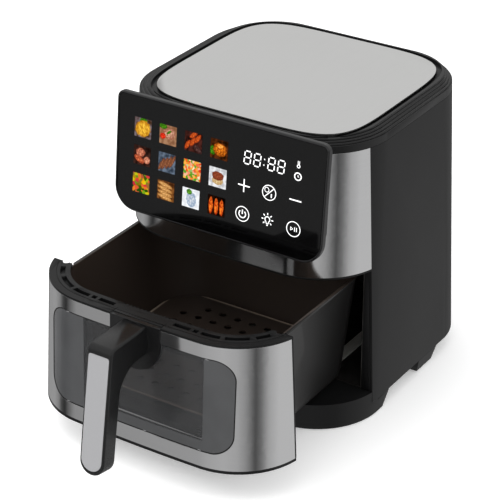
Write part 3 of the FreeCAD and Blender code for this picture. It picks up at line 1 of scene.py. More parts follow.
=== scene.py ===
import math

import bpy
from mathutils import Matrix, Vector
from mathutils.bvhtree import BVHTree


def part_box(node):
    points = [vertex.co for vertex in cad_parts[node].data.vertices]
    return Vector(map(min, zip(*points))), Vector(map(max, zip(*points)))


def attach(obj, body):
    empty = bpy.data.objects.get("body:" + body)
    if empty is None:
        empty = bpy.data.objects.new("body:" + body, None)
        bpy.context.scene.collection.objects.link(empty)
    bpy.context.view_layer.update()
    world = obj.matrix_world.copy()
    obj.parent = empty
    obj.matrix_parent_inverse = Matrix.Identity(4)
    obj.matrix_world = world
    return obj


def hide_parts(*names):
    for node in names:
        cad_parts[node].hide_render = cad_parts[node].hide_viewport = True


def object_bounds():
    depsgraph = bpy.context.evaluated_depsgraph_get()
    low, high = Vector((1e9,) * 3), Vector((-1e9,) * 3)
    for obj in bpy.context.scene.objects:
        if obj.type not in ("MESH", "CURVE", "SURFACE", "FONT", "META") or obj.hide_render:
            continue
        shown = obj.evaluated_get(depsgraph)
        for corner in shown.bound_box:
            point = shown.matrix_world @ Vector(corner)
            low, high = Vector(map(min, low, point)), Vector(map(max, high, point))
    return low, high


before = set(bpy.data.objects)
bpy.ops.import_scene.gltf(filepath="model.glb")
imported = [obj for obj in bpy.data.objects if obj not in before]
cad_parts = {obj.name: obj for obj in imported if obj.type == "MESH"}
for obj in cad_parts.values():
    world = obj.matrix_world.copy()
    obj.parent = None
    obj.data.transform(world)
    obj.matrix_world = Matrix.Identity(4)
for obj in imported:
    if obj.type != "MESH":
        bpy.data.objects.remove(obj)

# %% [markdown]
# # An air fryer with its drawer pulled open
#
# The measured model is already loaded as a fixed frame: a steel and plastic housing, a drawer with a
# window, a perforated crisper plate and a fan. This lesson gives it its looks. Every length is in
# metres, because Blender is, and every place is read from the frame, so nothing has to be fitted.
# The first job is to keep the size of the bare model, because the looks may not grow past it.

MM = 0.001
cad_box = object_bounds()
print("the bare model measures", [round((high - low) / MM, 1) for low, high in zip(*cad_box)], "mm")


def deselect_all():
    """An operator acts on everything that is selected, and loading leaves the whole model selected."""
    if bpy.context.object and bpy.context.object.mode != "OBJECT":
        bpy.ops.object.mode_set(mode="OBJECT")
    bpy.ops.object.select_all(action="DESELECT")


def pick(piece):
    """Makes one object the only selected one, and the active one."""
    deselect_all()
    piece.select_set(True)
    bpy.context.view_layer.objects.active = piece
    return piece


# %% [markdown]
# ## The camera
#
# A product picture of a kitchen appliance is usually taken from a little above and from one front
# corner, with a long lens so that the sides stay nearly parallel. The camera is placed by two angles
# and a distance from the point that it looks at, which is easier to reason about than x, y and z:
# the three unit vectors below are the camera's own right, up and back directions.

# %% Camera
ROUND_TO_THE_RIGHT = math.radians(33.09)
RAISED = math.radians(28.34)
CAMERA_DISTANCE = 1.9692
LENS = 139.95
SENSOR = 36
PICTURE_CENTRE = Vector((0.0, -0.0456, 0.160))
SHIFTED_RIGHT = 0.0388
SHIFTED_UP = 0.0243

camera_right = Vector((math.cos(ROUND_TO_THE_RIGHT), math.sin(ROUND_TO_THE_RIGHT), 0))
camera_back = Vector((
    math.sin(ROUND_TO_THE_RIGHT) * math.cos(RAISED),
    -math.cos(ROUND_TO_THE_RIGHT) * math.cos(RAISED),
    math.sin(RAISED),
))
camera_up = camera_back.cross(camera_right)
aim = PICTURE_CENTRE + camera_right * SHIFTED_RIGHT + camera_up * SHIFTED_UP
bpy.ops.object.camera_add(location=aim + camera_back * CAMERA_DISTANCE)
camera = bpy.context.object
camera.name = "camera"
camera.rotation_euler = Matrix((camera_right, camera_up, camera_back)).transposed().to_euler()
camera.data.sensor_width = SENSOR
camera.data.lens = LENS
bpy.context.scene.camera = camera
print("camera at", [round(value, 3) for value in camera.location])

# %% [markdown]
# ## The class that writes materials
#
# A procedural material is a small calculation for every point of a surface. Clicking its nodes
# together is slow to read back, so this class wraps one socket of the node tree and lets Python's own
# signs do the sums: `grain * 0.2 + 0.4` adds a Multiply and an Add node. The one method `node` adds any
# other node: its settings are set first, because they can change which sockets it has, and then the
# values or links of its sockets. The short methods after it only save typing.

# %% Sockets that can be calculated with
class Wire:
    """One output socket of a material's tree."""

    def __init__(self, tree, socket):
        self.tree = tree
        self.socket = socket

    def node(self, kind, settings=None, inputs=None, output=0):
        """Adds a node, sets its settings and then its inputs, and gives back one of its outputs."""
        made = self.tree.nodes.new("ShaderNode" + kind)
        for name, value in (settings or {}).items():
            if name == "stops":
                set_stops(made.color_ramp, value)
            else:
                setattr(made, name, value)
        for name, value in (inputs or {}).items():
            connect(self.tree, value, made.inputs[name])
        return Wire(self.tree, made.outputs[output])

    def math(self, operation, *values):
        """One step of arithmetic on numbers."""
        return self.node("Math", {"operation": operation}, dict(enumerate(values)))

    def vector(self, operation, *values, output="Vector"):
        """One step of arithmetic on places and directions."""
        return self.node("VectorMath", {"operation": operation}, dict(enumerate(values)), output)

    def axis(self, letter):
        """One coordinate of a place."""
        return self.node("SeparateXYZ", {}, {"Vector": self}, output=letter)

    def __add__(self, other):
        return self.math("ADD", self, other)

    def __sub__(self, other):
        return self.math("SUBTRACT", self, other)

    def __mul__(self, other):
        return self.math("MULTIPLY", self, other)

    def __rsub__(self, other):
        return self.math("SUBTRACT", other, self)

    __radd__ = __add__
    __rmul__ = __mul__

    def between(self, low, high):
        """0 below low, 1 above high, and a smooth rise from one to the other."""
        settings = {"interpolation_type": "SMOOTHSTEP"}
        return self.node("MapRange", settings, {"Value": self, "From Min": low, "From Max": high})

    def blend(self, first, second):
        """The first colour where this value is 0 and the second where it is 1."""
        colours = {0: self, 6: first, 7: second}
        return self.node("Mix", {"data_type": "RGBA"}, colours, output=2)


def connect(tree, value, socket):
    """Links a wire to a socket, or sets the socket to a plain value."""
    if isinstance(value, Wire):
        tree.links.new(value.socket, socket)
    elif isinstance(value, tuple) and len(value) == 3 and socket.type == "RGBA":
        socket.default_value = (*value, 1)
    else:
        socket.default_value = value


def set_stops(ramp, stops):
    """Gives a colour ramp its stops, each a place and either a grey or a colour."""
    for index, (place, colour) in enumerate(stops):
        stop = ramp.elements[index] if index < 2 else ramp.elements.new(place)
        stop.position = place
        stop.color = (*colour, 1) if isinstance(colour, tuple) else (colour, colour, colour, 1)


print("a wire can be added, subtracted and multiplied")

# %% [markdown]
# Every material starts the same way: a Principled shader whose plain values are set straight on its
# sockets, and a wire that gives the place on the piece in metres. Patterns are laid in Object
# coordinates, so a grain of 0.4 mm is 0.4 mm on every piece, large or small.

# %% Starting a finish and adding grain to it
def start_finish(name, **constants):
    """A new material, its shader and the place on the piece."""
    material = bpy.data.materials.new(name)
    material.use_nodes = True
    tree = material.node_tree
    shader = tree.nodes["Principled BSDF"]
    for socket, value in constants.items():
        connect(tree, value, shader.inputs[socket.replace("_", " ")])
    place = Wire(tree, tree.nodes.new("ShaderNodeTexCoord").outputs["Object"])
    return material, shader, place


def stretched(place, x=1.0, y=1.0, z=1.0):
    """The place with each direction scaled, in pattern sizes per metre."""
    return place.node("Mapping", {}, {"Vector": place, "Scale": (x, y, z)})


def noise(place, scale=1.0, detail=2.0, rough=0.5):
    """Cloudy values around a half."""
    inputs = {"Vector": place, "Scale": scale, "Detail": detail, "Roughness": rough}
    return place.node("TexNoise", {}, inputs)


def set_bump(shader, height, strength, depth):
    """Raises the surface by a height between 0 and 1, times a depth in metres."""
    bump = height.node("Bump", {}, {"Height": height, "Strength": strength, "Distance": depth})
    connect(height.tree, bump, shader.inputs["Normal"])


print("the finishes start from Object coordinates, in metres")

# %% [markdown]
# ## Steel
#
# The two outer skins are thin stainless sheet, brushed round the body. Brushing leaves hair-thin
# grooves that all run one way: across them a reflection smears into a long soft band, and along them
# it stays sharp. That is why brushed steel shows upright bands on a curved front. The grooves are a
# noise that is squeezed upright and drawn out sideways; the smear itself is the shader's anisotropy.
# The lid is the same steel, brushed along its depth and lightly frosted, so it reads paler and flatter.

# %% Brushed steel
GROOVE_DEPTH = 0.02 * MM


def brushed_metal(name, colour, roughness, grooves, smear, turn=0.0):
    """Bare metal with grooves, which are given as pattern sizes per metre along x, y and z."""
    material, shader, place = start_finish(
        name, Metallic=1.0, Anisotropic=smear, Anisotropic_Rotation=turn
    )
    hairs = noise(stretched(place, *grooves), detail=3.0, rough=0.65)
    clouds = noise(place, 14.0)
    darker = tuple(value * 0.90 for value in colour)
    shade = (hairs * 0.75 + clouds * 0.25).blend(darker, colour)
    connect(place.tree, shade, shader.inputs["Base Color"])
    connect(place.tree, roughness + hairs * 0.05 + clouds * 0.02, shader.inputs["Roughness"])
    set_bump(shader, hairs, 0.1, GROOVE_DEPTH)
    return material


steel = brushed_metal("brushed_steel", (0.70, 0.70, 0.705), 0.085, (22, 22, 1300), 0.5, turn=0.25)
plate_steel = brushed_metal("frosted_steel", (0.74, 0.74, 0.735), 0.36, (1400, 18, 40), 0.0)
chrome = brushed_metal("bright_wire", (0.75, 0.75, 0.76), 0.10, (400, 400, 400), 0.0)
screw_steel = brushed_metal("zinc_plated_screws", (0.50, 0.50, 0.48), 0.28, (900, 900, 60), 0.0)
aluminium = brushed_metal("pressed_aluminium", (0.72, 0.72, 0.73), 0.32, (300, 300, 300), 0.0)
print("metals:", steel.name, plate_steel.name, chrome.name, screw_steel.name, aluminium.name)

# %% [markdown]
# ## Silver paint on the grip
#
# The insert on the grip is not bare metal: it is moulded plastic with a silver lacquer, which
# scatters light evenly and stays light grey from every side. Half-metallic, with flakes of
# different brightness, is a quick and faithful recipe for it.

# %% Silver lacquer
def silver_lacquer():
    """Lacquer with metal flakes in it."""
    material, shader, place = start_finish("silver_lacquer", Metallic=0.45, Coat_Weight=0.2)
    flakes = noise(place, 2600.0, 1.0)
    shade = flakes.blend((0.43, 0.43, 0.44), (0.53, 0.53, 0.545))
    connect(place.tree, shade, shader.inputs["Base Color"])
    connect(place.tree, 0.36 + noise(place, 60.0) * 0.10, shader.inputs["Roughness"])
    set_bump(shader, flakes, 0.15, 0.01 * MM)
    return material


silver = silver_lacquer()
print("paint:", silver.name)

# %% [markdown]
# ## Black mouldings
#
# Nearly everything else is black plastic, but no two mouldings finish alike. The housing is spark
# textured, the grip is satin, and the bezel round the touch panel is almost polished. One function
# makes them all from how rough the skin is, how coarse and deep its grain is, and how much it shines.
# A faint cloudiness stands for the uneven shine that moulds and fingers leave.

# %% Black plastic
CLOUDINESS = 0.06


def moulding(name, colour, roughness, grain, depth, shine=0.35):
    """Moulded plastic; grain is in pattern sizes per metre."""
    material, shader, place = start_finish(name, Specular_IOR_Level=shine)
    pits = noise(place, grain, 2.0, 0.6)
    clouds = noise(place, 22.0)
    lighter = tuple(value * 1.5 + 0.002 for value in colour)
    shade = (clouds * 0.6 + pits * 0.4).blend(colour, lighter)
    connect(place.tree, shade, shader.inputs["Base Color"])
    connect(place.tree, roughness + (clouds - 0.5) * CLOUDINESS + pits * 0.06, shader.inputs["Roughness"])
    set_bump(shader, pits, 0.4, depth)
    return material


black_plastic = moulding("textured_black", (0.0043, 0.0043, 0.0045), 0.42, 1500.0, 0.03 * MM, shine=0.25)
ribbed_black = moulding("ribbed_black", (0.0050, 0.0050, 0.0052), 0.33, 1800.0, 0.015 * MM, shine=0.3)
grip_black = moulding("satin_grip", (0.0050, 0.0050, 0.0052), 0.25, 2200.0, 0.008 * MM, shine=0.38)
gloss_black = moulding("polished_black", (0.0060, 0.0060, 0.0065), 0.16, 900.0, 0.004 * MM, shine=0.5)
component_black = moulding("component_black", (0.012, 0.012, 0.013), 0.5, 900.0, 0.03 * MM)
white_plastic = moulding("natural_nylon", (0.55, 0.54, 0.50), 0.45, 1200.0, 0.02 * MM, shine=0.5)
rubber = moulding("rubber", (0.014, 0.014, 0.014), 0.72, 800.0, 0.05 * MM, shine=0.25)
silicone = moulding("silicone", (0.012, 0.012, 0.011), 0.55, 500.0, 0.03 * MM, shine=0.3)
board_green = moulding("circuit_board", (0.010, 0.075, 0.030), 0.35, 700.0, 0.02 * MM, shine=0.5)
print("black mouldings:", black_plastic.name, ribbed_black.name, grip_black.name, gloss_black.name)
print("other mouldings:", component_black.name, white_plastic.name, board_green.name)
print("soft mouldings:", rubber.name, silicone.name)

# %% [markdown]
# ## Hot parts
#
# The pan and its crisper plate are steel with a baked non-stick coat: brown on the inside, black on
# the outside and finely speckled. Inside and outside are told apart by whether the surface faces away
# from the middle of the piece. The plate's rim also gets a paler line along its lower and upper edge:
# a painted highlight, where those edges catch the light. The cavity is lined with aluminised sheet
# that cooking soon darkens, and the heating coil has a dull grey sheath.

# %% Non-stick coat, liner and heater sheath
INSIDE = (0.042, 0.031, 0.025)
OUTSIDE = (0.0105, 0.0102, 0.0100)
SPECKLED = (0.060, 0.048, 0.041)
PAINTED_RIM_HIGHLIGHT = (0.34, 0.27, 0.21)
RIM_DEPTH = 3 * MM


def nonstick(name, node, painted_highlight_edges):
    """A baked coat, brown inside and black outside, with painted highlight lines along the rim at some
    heights.
    """
    material, shader, place = start_finish(name, Specular_IOR_Level=0.4, Coat_Weight=0.12)
    low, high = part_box(node)
    middle = (low + high) / 2
    speckle = noise(place, 1800.0, 1.0).between(0.62, 0.75)
    soot = noise(place, 9.0, 3.0)
    from_middle = place.vector("SUBTRACT", place, tuple(middle))
    level = place.vector("MULTIPLY", from_middle, (1, 1, 0))
    normal = place.node("TexCoord", output="Normal")
    outward = place.vector("DOT_PRODUCT", level, normal, output="Value")
    coat = outward.between(0.0, 5 * MM).blend(INSIDE, OUTSIDE)
    coat = soot.between(0.3, 0.8).blend(coat, (speckle * 0.2).blend(coat, SPECKLED))
    side = place.vector("ABSOLUTE", from_middle)
    rim_x, rim_y = high.x - middle.x - RIM_DEPTH, high.y - middle.y - RIM_DEPTH
    rim = side.axis("X").between(rim_x, rim_x + 1 * MM)
    rim = rim.math("MAXIMUM", rim, side.axis("Y").between(rim_y, rim_y + 1 * MM))
    height = from_middle.axis("Z") + middle.z
    # Painted highlight: pale lines along the rim at the given edge heights stand in for light caught by
    # the plate's edges.
    painted_highlight = 0.0
    for edge in painted_highlight_edges:
        away = height - edge
        painted_highlight = painted_highlight + (1 - away.math("ABSOLUTE", away).between(0.5 * MM, 0.9 * MM))
    painted_highlight = (painted_highlight * rim) * 0.85
    connect(place.tree, painted_highlight.blend(coat, PAINTED_RIM_HIGHLIGHT), shader.inputs["Base Color"])
    connect(place.tree, 0.36 + speckle * 0.1, shader.inputs["Roughness"])
    set_bump(shader, speckle, 0.3, 0.02 * MM)
    return material


plate_low, plate_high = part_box("crisper_plate")
# Painted highlight lines go on the plate's lower and upper edges only; the pan gets none.
pan_coat = nonstick("nonstick_pan", "pan", [])
plate_coat = nonstick("nonstick_plate", "crisper_plate", [plate_low.z, plate_high.z])


def patchy(name, colour, tarnish, roughness, metallic):
    """A dull surface whose second colour comes in soft patches."""
    material, shader, place = start_finish(name, Metallic=metallic)
    patches = noise(place, 35.0, 4.0, 0.6)
    connect(place.tree, patches.between(0.35, 0.7).blend(colour, tarnish), shader.inputs["Base Color"])
    connect(place.tree, roughness + patches * 0.15, shader.inputs["Roughness"])
    set_bump(shader, noise(place, 700.0), 0.25, 0.03 * MM)
    return material


liner_steel = patchy("smoked_liner", (0.045, 0.042, 0.040), (0.018, 0.016, 0.014), 0.45, 0.6)
element_metal = patchy("heater_sheath", (0.16, 0.15, 0.14), (0.07, 0.06, 0.055), 0.5, 0.8)
print("hot parts:", pan_coat.name, plate_coat.name, liner_steel.name, element_metal.name)

# %% [markdown]
# ## Glass
#
# The touch panel is tinted glass over a dark mask: black, very smooth, and broken up only by faint
# finger marks. The drawer window is grey-tinted glass that lets through part of the view. Its edge is
# glued, so it is backed there and shows nothing behind it, and a thin black line is printed all round.
# A pane this thin hardly bends light, so alpha does the work of the tint, and the backed edge is
# simply where alpha goes back to one. The line follows the rounded corners: it is drawn where the
# distance from a smaller box with square corners, inside the pane, comes close to the corner radius.

# %% Panel glass and window glass
def panel_glass_finish():
    """Black glass with finger marks."""
    material, shader, place = start_finish("tinted_panel_glass", IOR=1.42)
    smears = noise(stretched(place, 30, 30, 12), detail=4.0, rough=0.6)
    tint = smears.blend((0.0008, 0.0008, 0.0009), (0.0020, 0.0020, 0.0021))
    connect(place.tree, tint, shader.inputs["Base Color"])
    connect(place.tree, 0.05 + smears.between(0.5, 0.8) * 0.05, shader.inputs["Roughness"])
    return material


def inside_box(place, left, right, low, high, fade=0.5 * MM):
    """1 inside a box of x and z, and 0 outside it."""
    x, z = place.axis("X"), place.axis("Z")
    inside = x.between(left, left + fade) * (1 - x.between(right - fade, right))
    return inside * z.between(low, low + fade) * (1 - z.between(high - fade, high))


def edge_line(place, node, corner, width):
    """1 in a line along the rounded edge of an upright pane, and 0 elsewhere."""
    low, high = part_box(node)
    middle = (low + high) / 2
    reach = high - middle - Vector((corner, 0, corner))
    reach.y = 1.0  # so deep that the depth never counts
    offset = place.vector("SUBTRACT", place, tuple(middle))
    offset = place.vector("ABSOLUTE", offset)
    past = place.vector("SUBTRACT", offset, tuple(reach))
    past = place.vector("MAXIMUM", past, (0, 0, 0))
    distance = place.vector("LENGTH", past, output="Value")
    return distance.between(corner - width, corner - width * 0.7)


PANE_CORNER = 22 * MM
EDGE_LINE = 1.3 * MM
LINE_BLACK = (0.001, 0.001, 0.001)


def window_finish(name, node, tint, see_through, clear_area):
    """Tinted glass that is backed with black, except over the clear area: left, right, low, high."""
    material, shader, place = start_finish(name, IOR=1.5)
    haze = noise(place, 25.0, 3.0)
    backed = tuple(value * 1.15 for value in tint)
    clear = inside_box(place, *clear_area)
    colour = clear.blend(haze.between(0.3, 0.7).blend(tint, backed), tint)
    colour = edge_line(place, node, PANE_CORNER, EDGE_LINE).blend(colour, LINE_BLACK)
    connect(place.tree, colour, shader.inputs["Base Color"])
    connect(place.tree, 0.03 + haze * 0.03, shader.inputs["Roughness"])
    connect(place.tree, 1 - clear * see_through, shader.inputs["Alpha"])
    return material


panel_glass = panel_glass_finish()
inner_low, inner_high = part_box("inner_glass")
GLUED_EDGE = 6 * MM
clear_area = (
    inner_low.x + 2 * GLUED_EDGE, inner_high.x + GLUED_EDGE / 2,
    inner_low.z + 3 * GLUED_EDGE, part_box("window_glass")[1].z,
)
smoked_glass = window_finish(
    "smoked_window", "window_glass",
    tint=(0.056, 0.057, 0.059), see_through=0.55, clear_area=clear_area,
)
pan_window_area = (inner_low.x, inner_high.x, inner_low.z, inner_high.z)
clear_glass = window_finish(
    "pan_window", "inner_glass",
    tint=(0.03, 0.03, 0.03), see_through=0.90, clear_area=pan_window_area,
)
lamp_lens = patchy("frosted_lens", (0.55, 0.54, 0.50), (0.45, 0.44, 0.40), 0.35, 0.0)
print("glass:", panel_glass.name, smoked_glass.name, clear_glass.name, lamp_lens.name)

# %% [markdown]
# ## Finishes on the frame
#
# The frame names a material slot for every node, so one dictionary is enough to dress the whole
# object. The shapes are right already; only the material in each slot is exchanged.

# %% Dress the frame
FINISHES = {
    "black_plastic": black_plastic,
    "gloss_black": gloss_black,
    "steel": steel,
    "plate_steel": plate_steel,
    "panel_glass": panel_glass,
    "smoked_glass": smoked_glass,
    "clear_glass": clear_glass,
    "coated_steel": pan_coat,
    "liner_steel": liner_steel,
    "element_metal": element_metal,
    "aluminium": aluminium,
    "chrome": chrome,
    "rubber": rubber,
    "silicone": silicone,
    "screw_steel": screw_steel,
    "board_green": board_green,
    "component_black": component_black,
    "white_plastic": white_plastic,
    "lamp_lens": lamp_lens,
}
SLOT_OF = {name: node.material_slots[0].material.name for name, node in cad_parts.items()}
for name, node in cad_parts.items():
    node.material_slots[0].material = FINISHES[SLOT_OF[name]]
print(len(SLOT_OF), "nodes dressed in", len(set(SLOT_OF.values())), "finishes")

# %% [markdown]
# ## Softened copies of the outer pieces
#
# No moulding or pressing has a truly sharp edge, and it is the thin bright line along each edge that
# makes a product look real. A node of the frame may not be changed, so each outer piece gets a copy
# that stands for it. The copy arrives as loose triangles: they are merged, flat neighbours are
# joined into one face, and then a small bevel runs along every edge that is sharper than the seam
# angle. Smooth shading by angle finishes the round stretches.

# %% The function that softens a piece
MERGE_WITHIN = 0.004 * MM
FLAT_ENOUGH = math.radians(0.3)
SEAM = math.radians(32)
BEVEL_STEPS = 2


def softened(node, body, radius, finish):
    """A merged, bevelled and smoothly shaded copy of a node, which stands for that node."""
    copy = bpy.data.objects.new(node + "_finished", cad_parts[node].data.copy())
    bpy.context.scene.collection.objects.link(copy)
    pick(copy)
    bpy.ops.object.mode_set(mode="EDIT")
    bpy.ops.mesh.select_all(action="SELECT")
    bpy.ops.mesh.remove_doubles(threshold=MERGE_WITHIN)
    bpy.ops.mesh.customdata_custom_splitnormals_clear()
    bpy.ops.mesh.dissolve_limited(angle_limit=FLAT_ENOUGH)
    bpy.ops.object.mode_set(mode="OBJECT")
    if radius:
        bevel = copy.modifiers.new("edges", "BEVEL")
        bevel.width = radius
        bevel.segments = BEVEL_STEPS
        bevel.limit_method = "ANGLE"
        bevel.angle_limit = SEAM
        bevel.harden_normals = True
        bpy.ops.object.modifier_apply(modifier="edges")
    bpy.ops.object.shade_smooth_by_angle(angle=SEAM)
    copy.data.materials.clear()
    copy.data.materials.append(finish)
    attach(copy, body)
    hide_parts(node)
    return copy


print("edges sharper than", round(math.degrees(SEAM)), "degrees will be bevelled")

# %% [markdown]
# Each row names a node, the body that it rides on, its bevel in millimetres and its finish. Thin steel
# gets a bevel of 0.15 to 0.3 mm and thick mouldings about half a millimetre. A bevel of nothing only
# merges and smooths: the liner is hardly seen, and the crisper plate is full of small holes.

# %% Soften the housing and the drawer
SOFT_PIECES = [
    ("outer_shell", "housing", 0.5, black_plastic),
    ("top_rim", "housing", 0.35, ribbed_black),
    ("top_plate", "housing", 0.3, plate_steel),
    ("upper_skin", "housing", 0.15, steel),
    ("opening_frame", "housing", 0.5, black_plastic),
    ("front_soffit", "housing", 0.3, black_plastic),
    ("cavity_liner", "housing", 0.0, liner_steel),
    ("base_shell", "housing", 0.6, black_plastic),
    ("rear_feet", "housing", 0.5, black_plastic),
    ("rear_vent", "housing", 0.3, black_plastic),
    ("panel_tray", "housing", 0.5, gloss_black),
    ("panel_glass", "housing", 0.35, panel_glass),
    ("drawer_skin", "drawer", 0.15, steel),
    ("drawer_frame", "drawer", 0.4, black_plastic),
    ("bottom_trim", "drawer", 0.5, black_plastic),
    ("vent_rim", "drawer", 0.5, black_plastic),
    ("handle", "drawer", 0.5, grip_black),
    ("handle_boss", "drawer", 0.5, grip_black),
    ("handle_inlay", "drawer", 0.4, silver),
    ("window_glass", "drawer", 0.2, smoked_glass),
    ("pan", "drawer", 0.2, pan_coat),
    ("crisper_plate", "crisper", 0.0, plate_coat),
]
for node, body, radius, finish in SOFT_PIECES:
    piece = softened(node, body, radius * MM, finish)
    print(piece.name, len(piece.data.polygons), "faces")

# %% [markdown]
# ## Small details on the drawer front
#
# Two details are too fine for the frame. A thin ring shows where the arm of the handle is socketed
# into its boss, and small bright tabs hold the window glass along its edge. Both are placed on the
# real surface, by sending a level line at it from the front. The ring is a slim torus that leans back
# with the drawer front: two such lines, sent at the top and the middle of the boss, give its slope.

# %% Socket ring and window tabs
def surface_point(node, x, z):
    """Where a level line from the front first meets a node."""
    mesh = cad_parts[node].data
    corners = [vertex.co for vertex in mesh.vertices]
    surface = BVHTree.FromPolygons(corners, [tuple(face.vertices) for face in mesh.polygons])
    return surface.ray_cast(Vector((x, cad_box[0].y - 10 * MM, z)), Vector((0, 1, 0)))[0]


def drawer_detail(name, finish):
    """Finishes the object just added and lets it ride with the drawer."""
    bpy.ops.object.transform_apply(location=True, rotation=True, scale=True)
    piece = bpy.context.object
    piece.name = name
    piece.data.materials.append(finish)
    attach(piece, "drawer")


BESIDE_ARM = 20 * MM
RING_BELOW_TOP = 18.2 * MM
RING_RADIUS, RING_THICKNESS = 17.4 * MM, 0.9 * MM

boss_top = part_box("handle_boss")[1].z
ring_middle = boss_top - RING_BELOW_TOP
face_top = surface_point("handle_boss", BESIDE_ARM, boss_top - 2 * MM)
face_middle = surface_point("handle_boss", BESIDE_ARM, ring_middle)
lean = math.atan2(face_top.y - face_middle.y, face_top.z - face_middle.z)
deselect_all()
bpy.ops.mesh.primitive_torus_add(
    location=(0, face_middle.y, ring_middle), rotation=(math.radians(90) - lean, 0, 0),
    major_radius=RING_RADIUS, minor_radius=RING_THICKNESS / 2, major_segments=72, minor_segments=8,
)
bpy.ops.object.shade_smooth()
drawer_detail("socket_ring", ribbed_black)
print("the drawer front leans back by", round(math.degrees(lean), 2), "degrees")

TAB_SIZE = (3.6 * MM, 0.6 * MM, 0.8 * MM)
TAB_FROM_EDGE = 1.0 * MM
pane_low, pane_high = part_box("window_glass")
upper_tabs = pane_high.z - TAB_FROM_EDGE
lower_tabs = pane_low.z + TAB_FROM_EDGE
TABS = [
    (-84 * MM, upper_tabs), (82 * MM, upper_tabs),
    (-84 * MM, lower_tabs), (12 * MM, lower_tabs), (76 * MM, lower_tabs),
]
for number, (x, z) in enumerate(TABS):
    deselect_all()
    bpy.ops.mesh.primitive_cube_add(size=1, location=surface_point("window_glass", x, z))
    bpy.ops.transform.resize(value=TAB_SIZE)
    drawer_detail("window_tab_%d" % number, chrome)
print(len(TABS), "tabs hold the window glass")

# %% [markdown]
# ## The picture menu on the touch panel
#
# Twelve small lit pictures stand in four columns on the left of the panel, and white symbols on the
# right. Because the panel leans back, everything is first laid out flat, as on a drawing board, and
# then carried onto the glass in one move. The drawing board's place and slope are measured from the
# glass itself: its largest forward-looking face gives the slope and its lowest edge the origin. The
# board lies a tenth of a millimetre proud of the glass.

# %% The panel's drawing board
PROUD = 0.1 * MM
glass_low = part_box("panel_glass")[0]
glass_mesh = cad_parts["panel_glass"].data
front_face = max(glass_mesh.polygons, key=lambda face: face.area if face.normal.y < -0.9 else 0)
outward = front_face.normal.copy()
across = Vector((1, 0, 0))
upward = outward.cross(across)
on_face = glass_mesh.vertices[front_face.vertices[0]].co
board_origin = on_face + upward * ((glass_low.z - on_face.z) / upward.z)
board_origin.x = 0
board_to_panel = Matrix((across, upward, outward)).transposed().to_4x4()
board_to_panel.translation = board_origin + outward * PROUD
print("the panel leans back by", round(math.degrees(math.asin(outward.z)), 2), "degrees")


def carry_to_panel(piece, name):
    """Moves a piece from the drawing board to the panel and lets it ride with the housing."""
    pick(piece)
    piece.name = name
    piece.matrix_world = board_to_panel
    bpy.ops.object.transform_apply(location=True, rotation=True, scale=True)
    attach(piece, "housing")


# %% [markdown]
# Each picture is a rounded chip of film with a procedural dish on it. A dish is painted like a quick
# oil sketch: a ground, and then servings laid over it, each a soft-edged ellipse filled with two
# colours that a noise mingles. Stretching that noise turns the same serving into chips or rashers,
# and a cell pattern turns it into chopped vegetables. The film glows, so the colours stay readable.

# %% A painted dish
FILM_GLOW = 1.15
DEEPENING = 1.35


class Dish:
    """One lit picture; its own coordinates run from -1 to 1 across and up the chip."""

    def __init__(self, name, centre, half):
        self.material, self.shader, place = start_finish(
            name, Base_Color=(0.0, 0.0, 0.0), Specular_IOR_Level=0.0, Emission_Strength=FILM_GLOW
        )
        scale = (1 / half, 0, 1 / (half * upward.z))
        moved = tuple(-value * factor for value, factor in zip(centre, scale))
        self.place = place.node("Mapping", {}, {"Vector": place, "Location": moved, "Scale": scale})
        self.colour = None

    def ground(self, low_colour, high_colour):
        """Fills the whole chip."""
        self.colour = noise(self.place, 2.0, 3.0).between(0.35, 0.65).blend(low_colour, high_colour)
        return self

    def serving(self, x, y, wide, tall, turn, dark, light, stretch=(1, 1), grain=6.5):
        """Lays one ellipse of food over what is there."""
        turned = self.place.node(
            "VectorRotate", {"rotation_type": "Y_AXIS"},
            {"Vector": self.place, "Center": (x, 0, y), "Angle": math.radians(turn)},
        )
        moved = turned.vector("SUBTRACT", turned, (x, 0, y))
        wobble = noise(self.place, 4.0, 2.0) * 0.5 + 0.75
        sized = moved.vector("DIVIDE", moved, (wide, 1, tall))
        reach = sized.vector("LENGTH", sized, output="Value") * wobble
        texture = noise(stretched(moved, stretch[0], 1, stretch[1]), grain, 4.0, 0.7).between(0.40, 0.60)
        shaded = (reach.between(0.5, 1.0) * 0.6).blend(texture.blend(dark, light), dark)
        self.colour = (1 - reach.between(0.88, 1.0)).blend(self.colour, shaded)
        return self

    def chopped(self, size, colours):
        """Covers the chip with cells, each of one of the colours."""
        cells = self.place.node("TexVoronoi", {}, {"Vector": self.place, "Scale": size}, output="Color")
        chance = cells.node("SeparateColor", {}, {"Color": cells}, output="Red")
        stops = [(index / len(colours), colour) for index, colour in enumerate(colours)]
        self.colour = chance.node("ValToRGB", {"stops": stops}, {"Fac": chance})
        return self

    def done(self):
        """Deepens the colours, as a bright screen does, and lets the film glow with them."""
        deep = self.colour.node("Gamma", {}, {"Color": self.colour, "Gamma": DEEPENING})
        connect(self.place.tree, deep, self.shader.inputs["Emission Color"])
        return self.material


print("a dish is a ground with servings laid over it")

# %% [markdown]
# The twelve dishes, from the top left: chips, steak, wings, roast bird, drumsticks, ribs, pizza, cake,
# vegetables, toast, an iced drink and sausages. Colours are linear, so they look darker in numbers
# than on the screen.

# %% Recipes
LEAF_DARK, LEAF = (0.03, 0.14, 0.01), (0.16, 0.40, 0.03)
CRUST_DARK = (0.22, 0.05, 0.01)
PAPER, CREAM = (0.75, 0.77, 0.80), (0.80, 0.66, 0.42)


def chips(dish):
    dish.ground((0.10, 0.05, 0.02), (0.28, 0.24, 0.27))
    dish.serving(0.05, 0.75, 0.5, 0.35, 0, LEAF_DARK, LEAF)
    dish.serving(0.0, -0.05, 1.0, 0.85, 35, (0.50, 0.22, 0.01), (1.0, 0.70, 0.13), (4, 1), 2.2)
    return dish


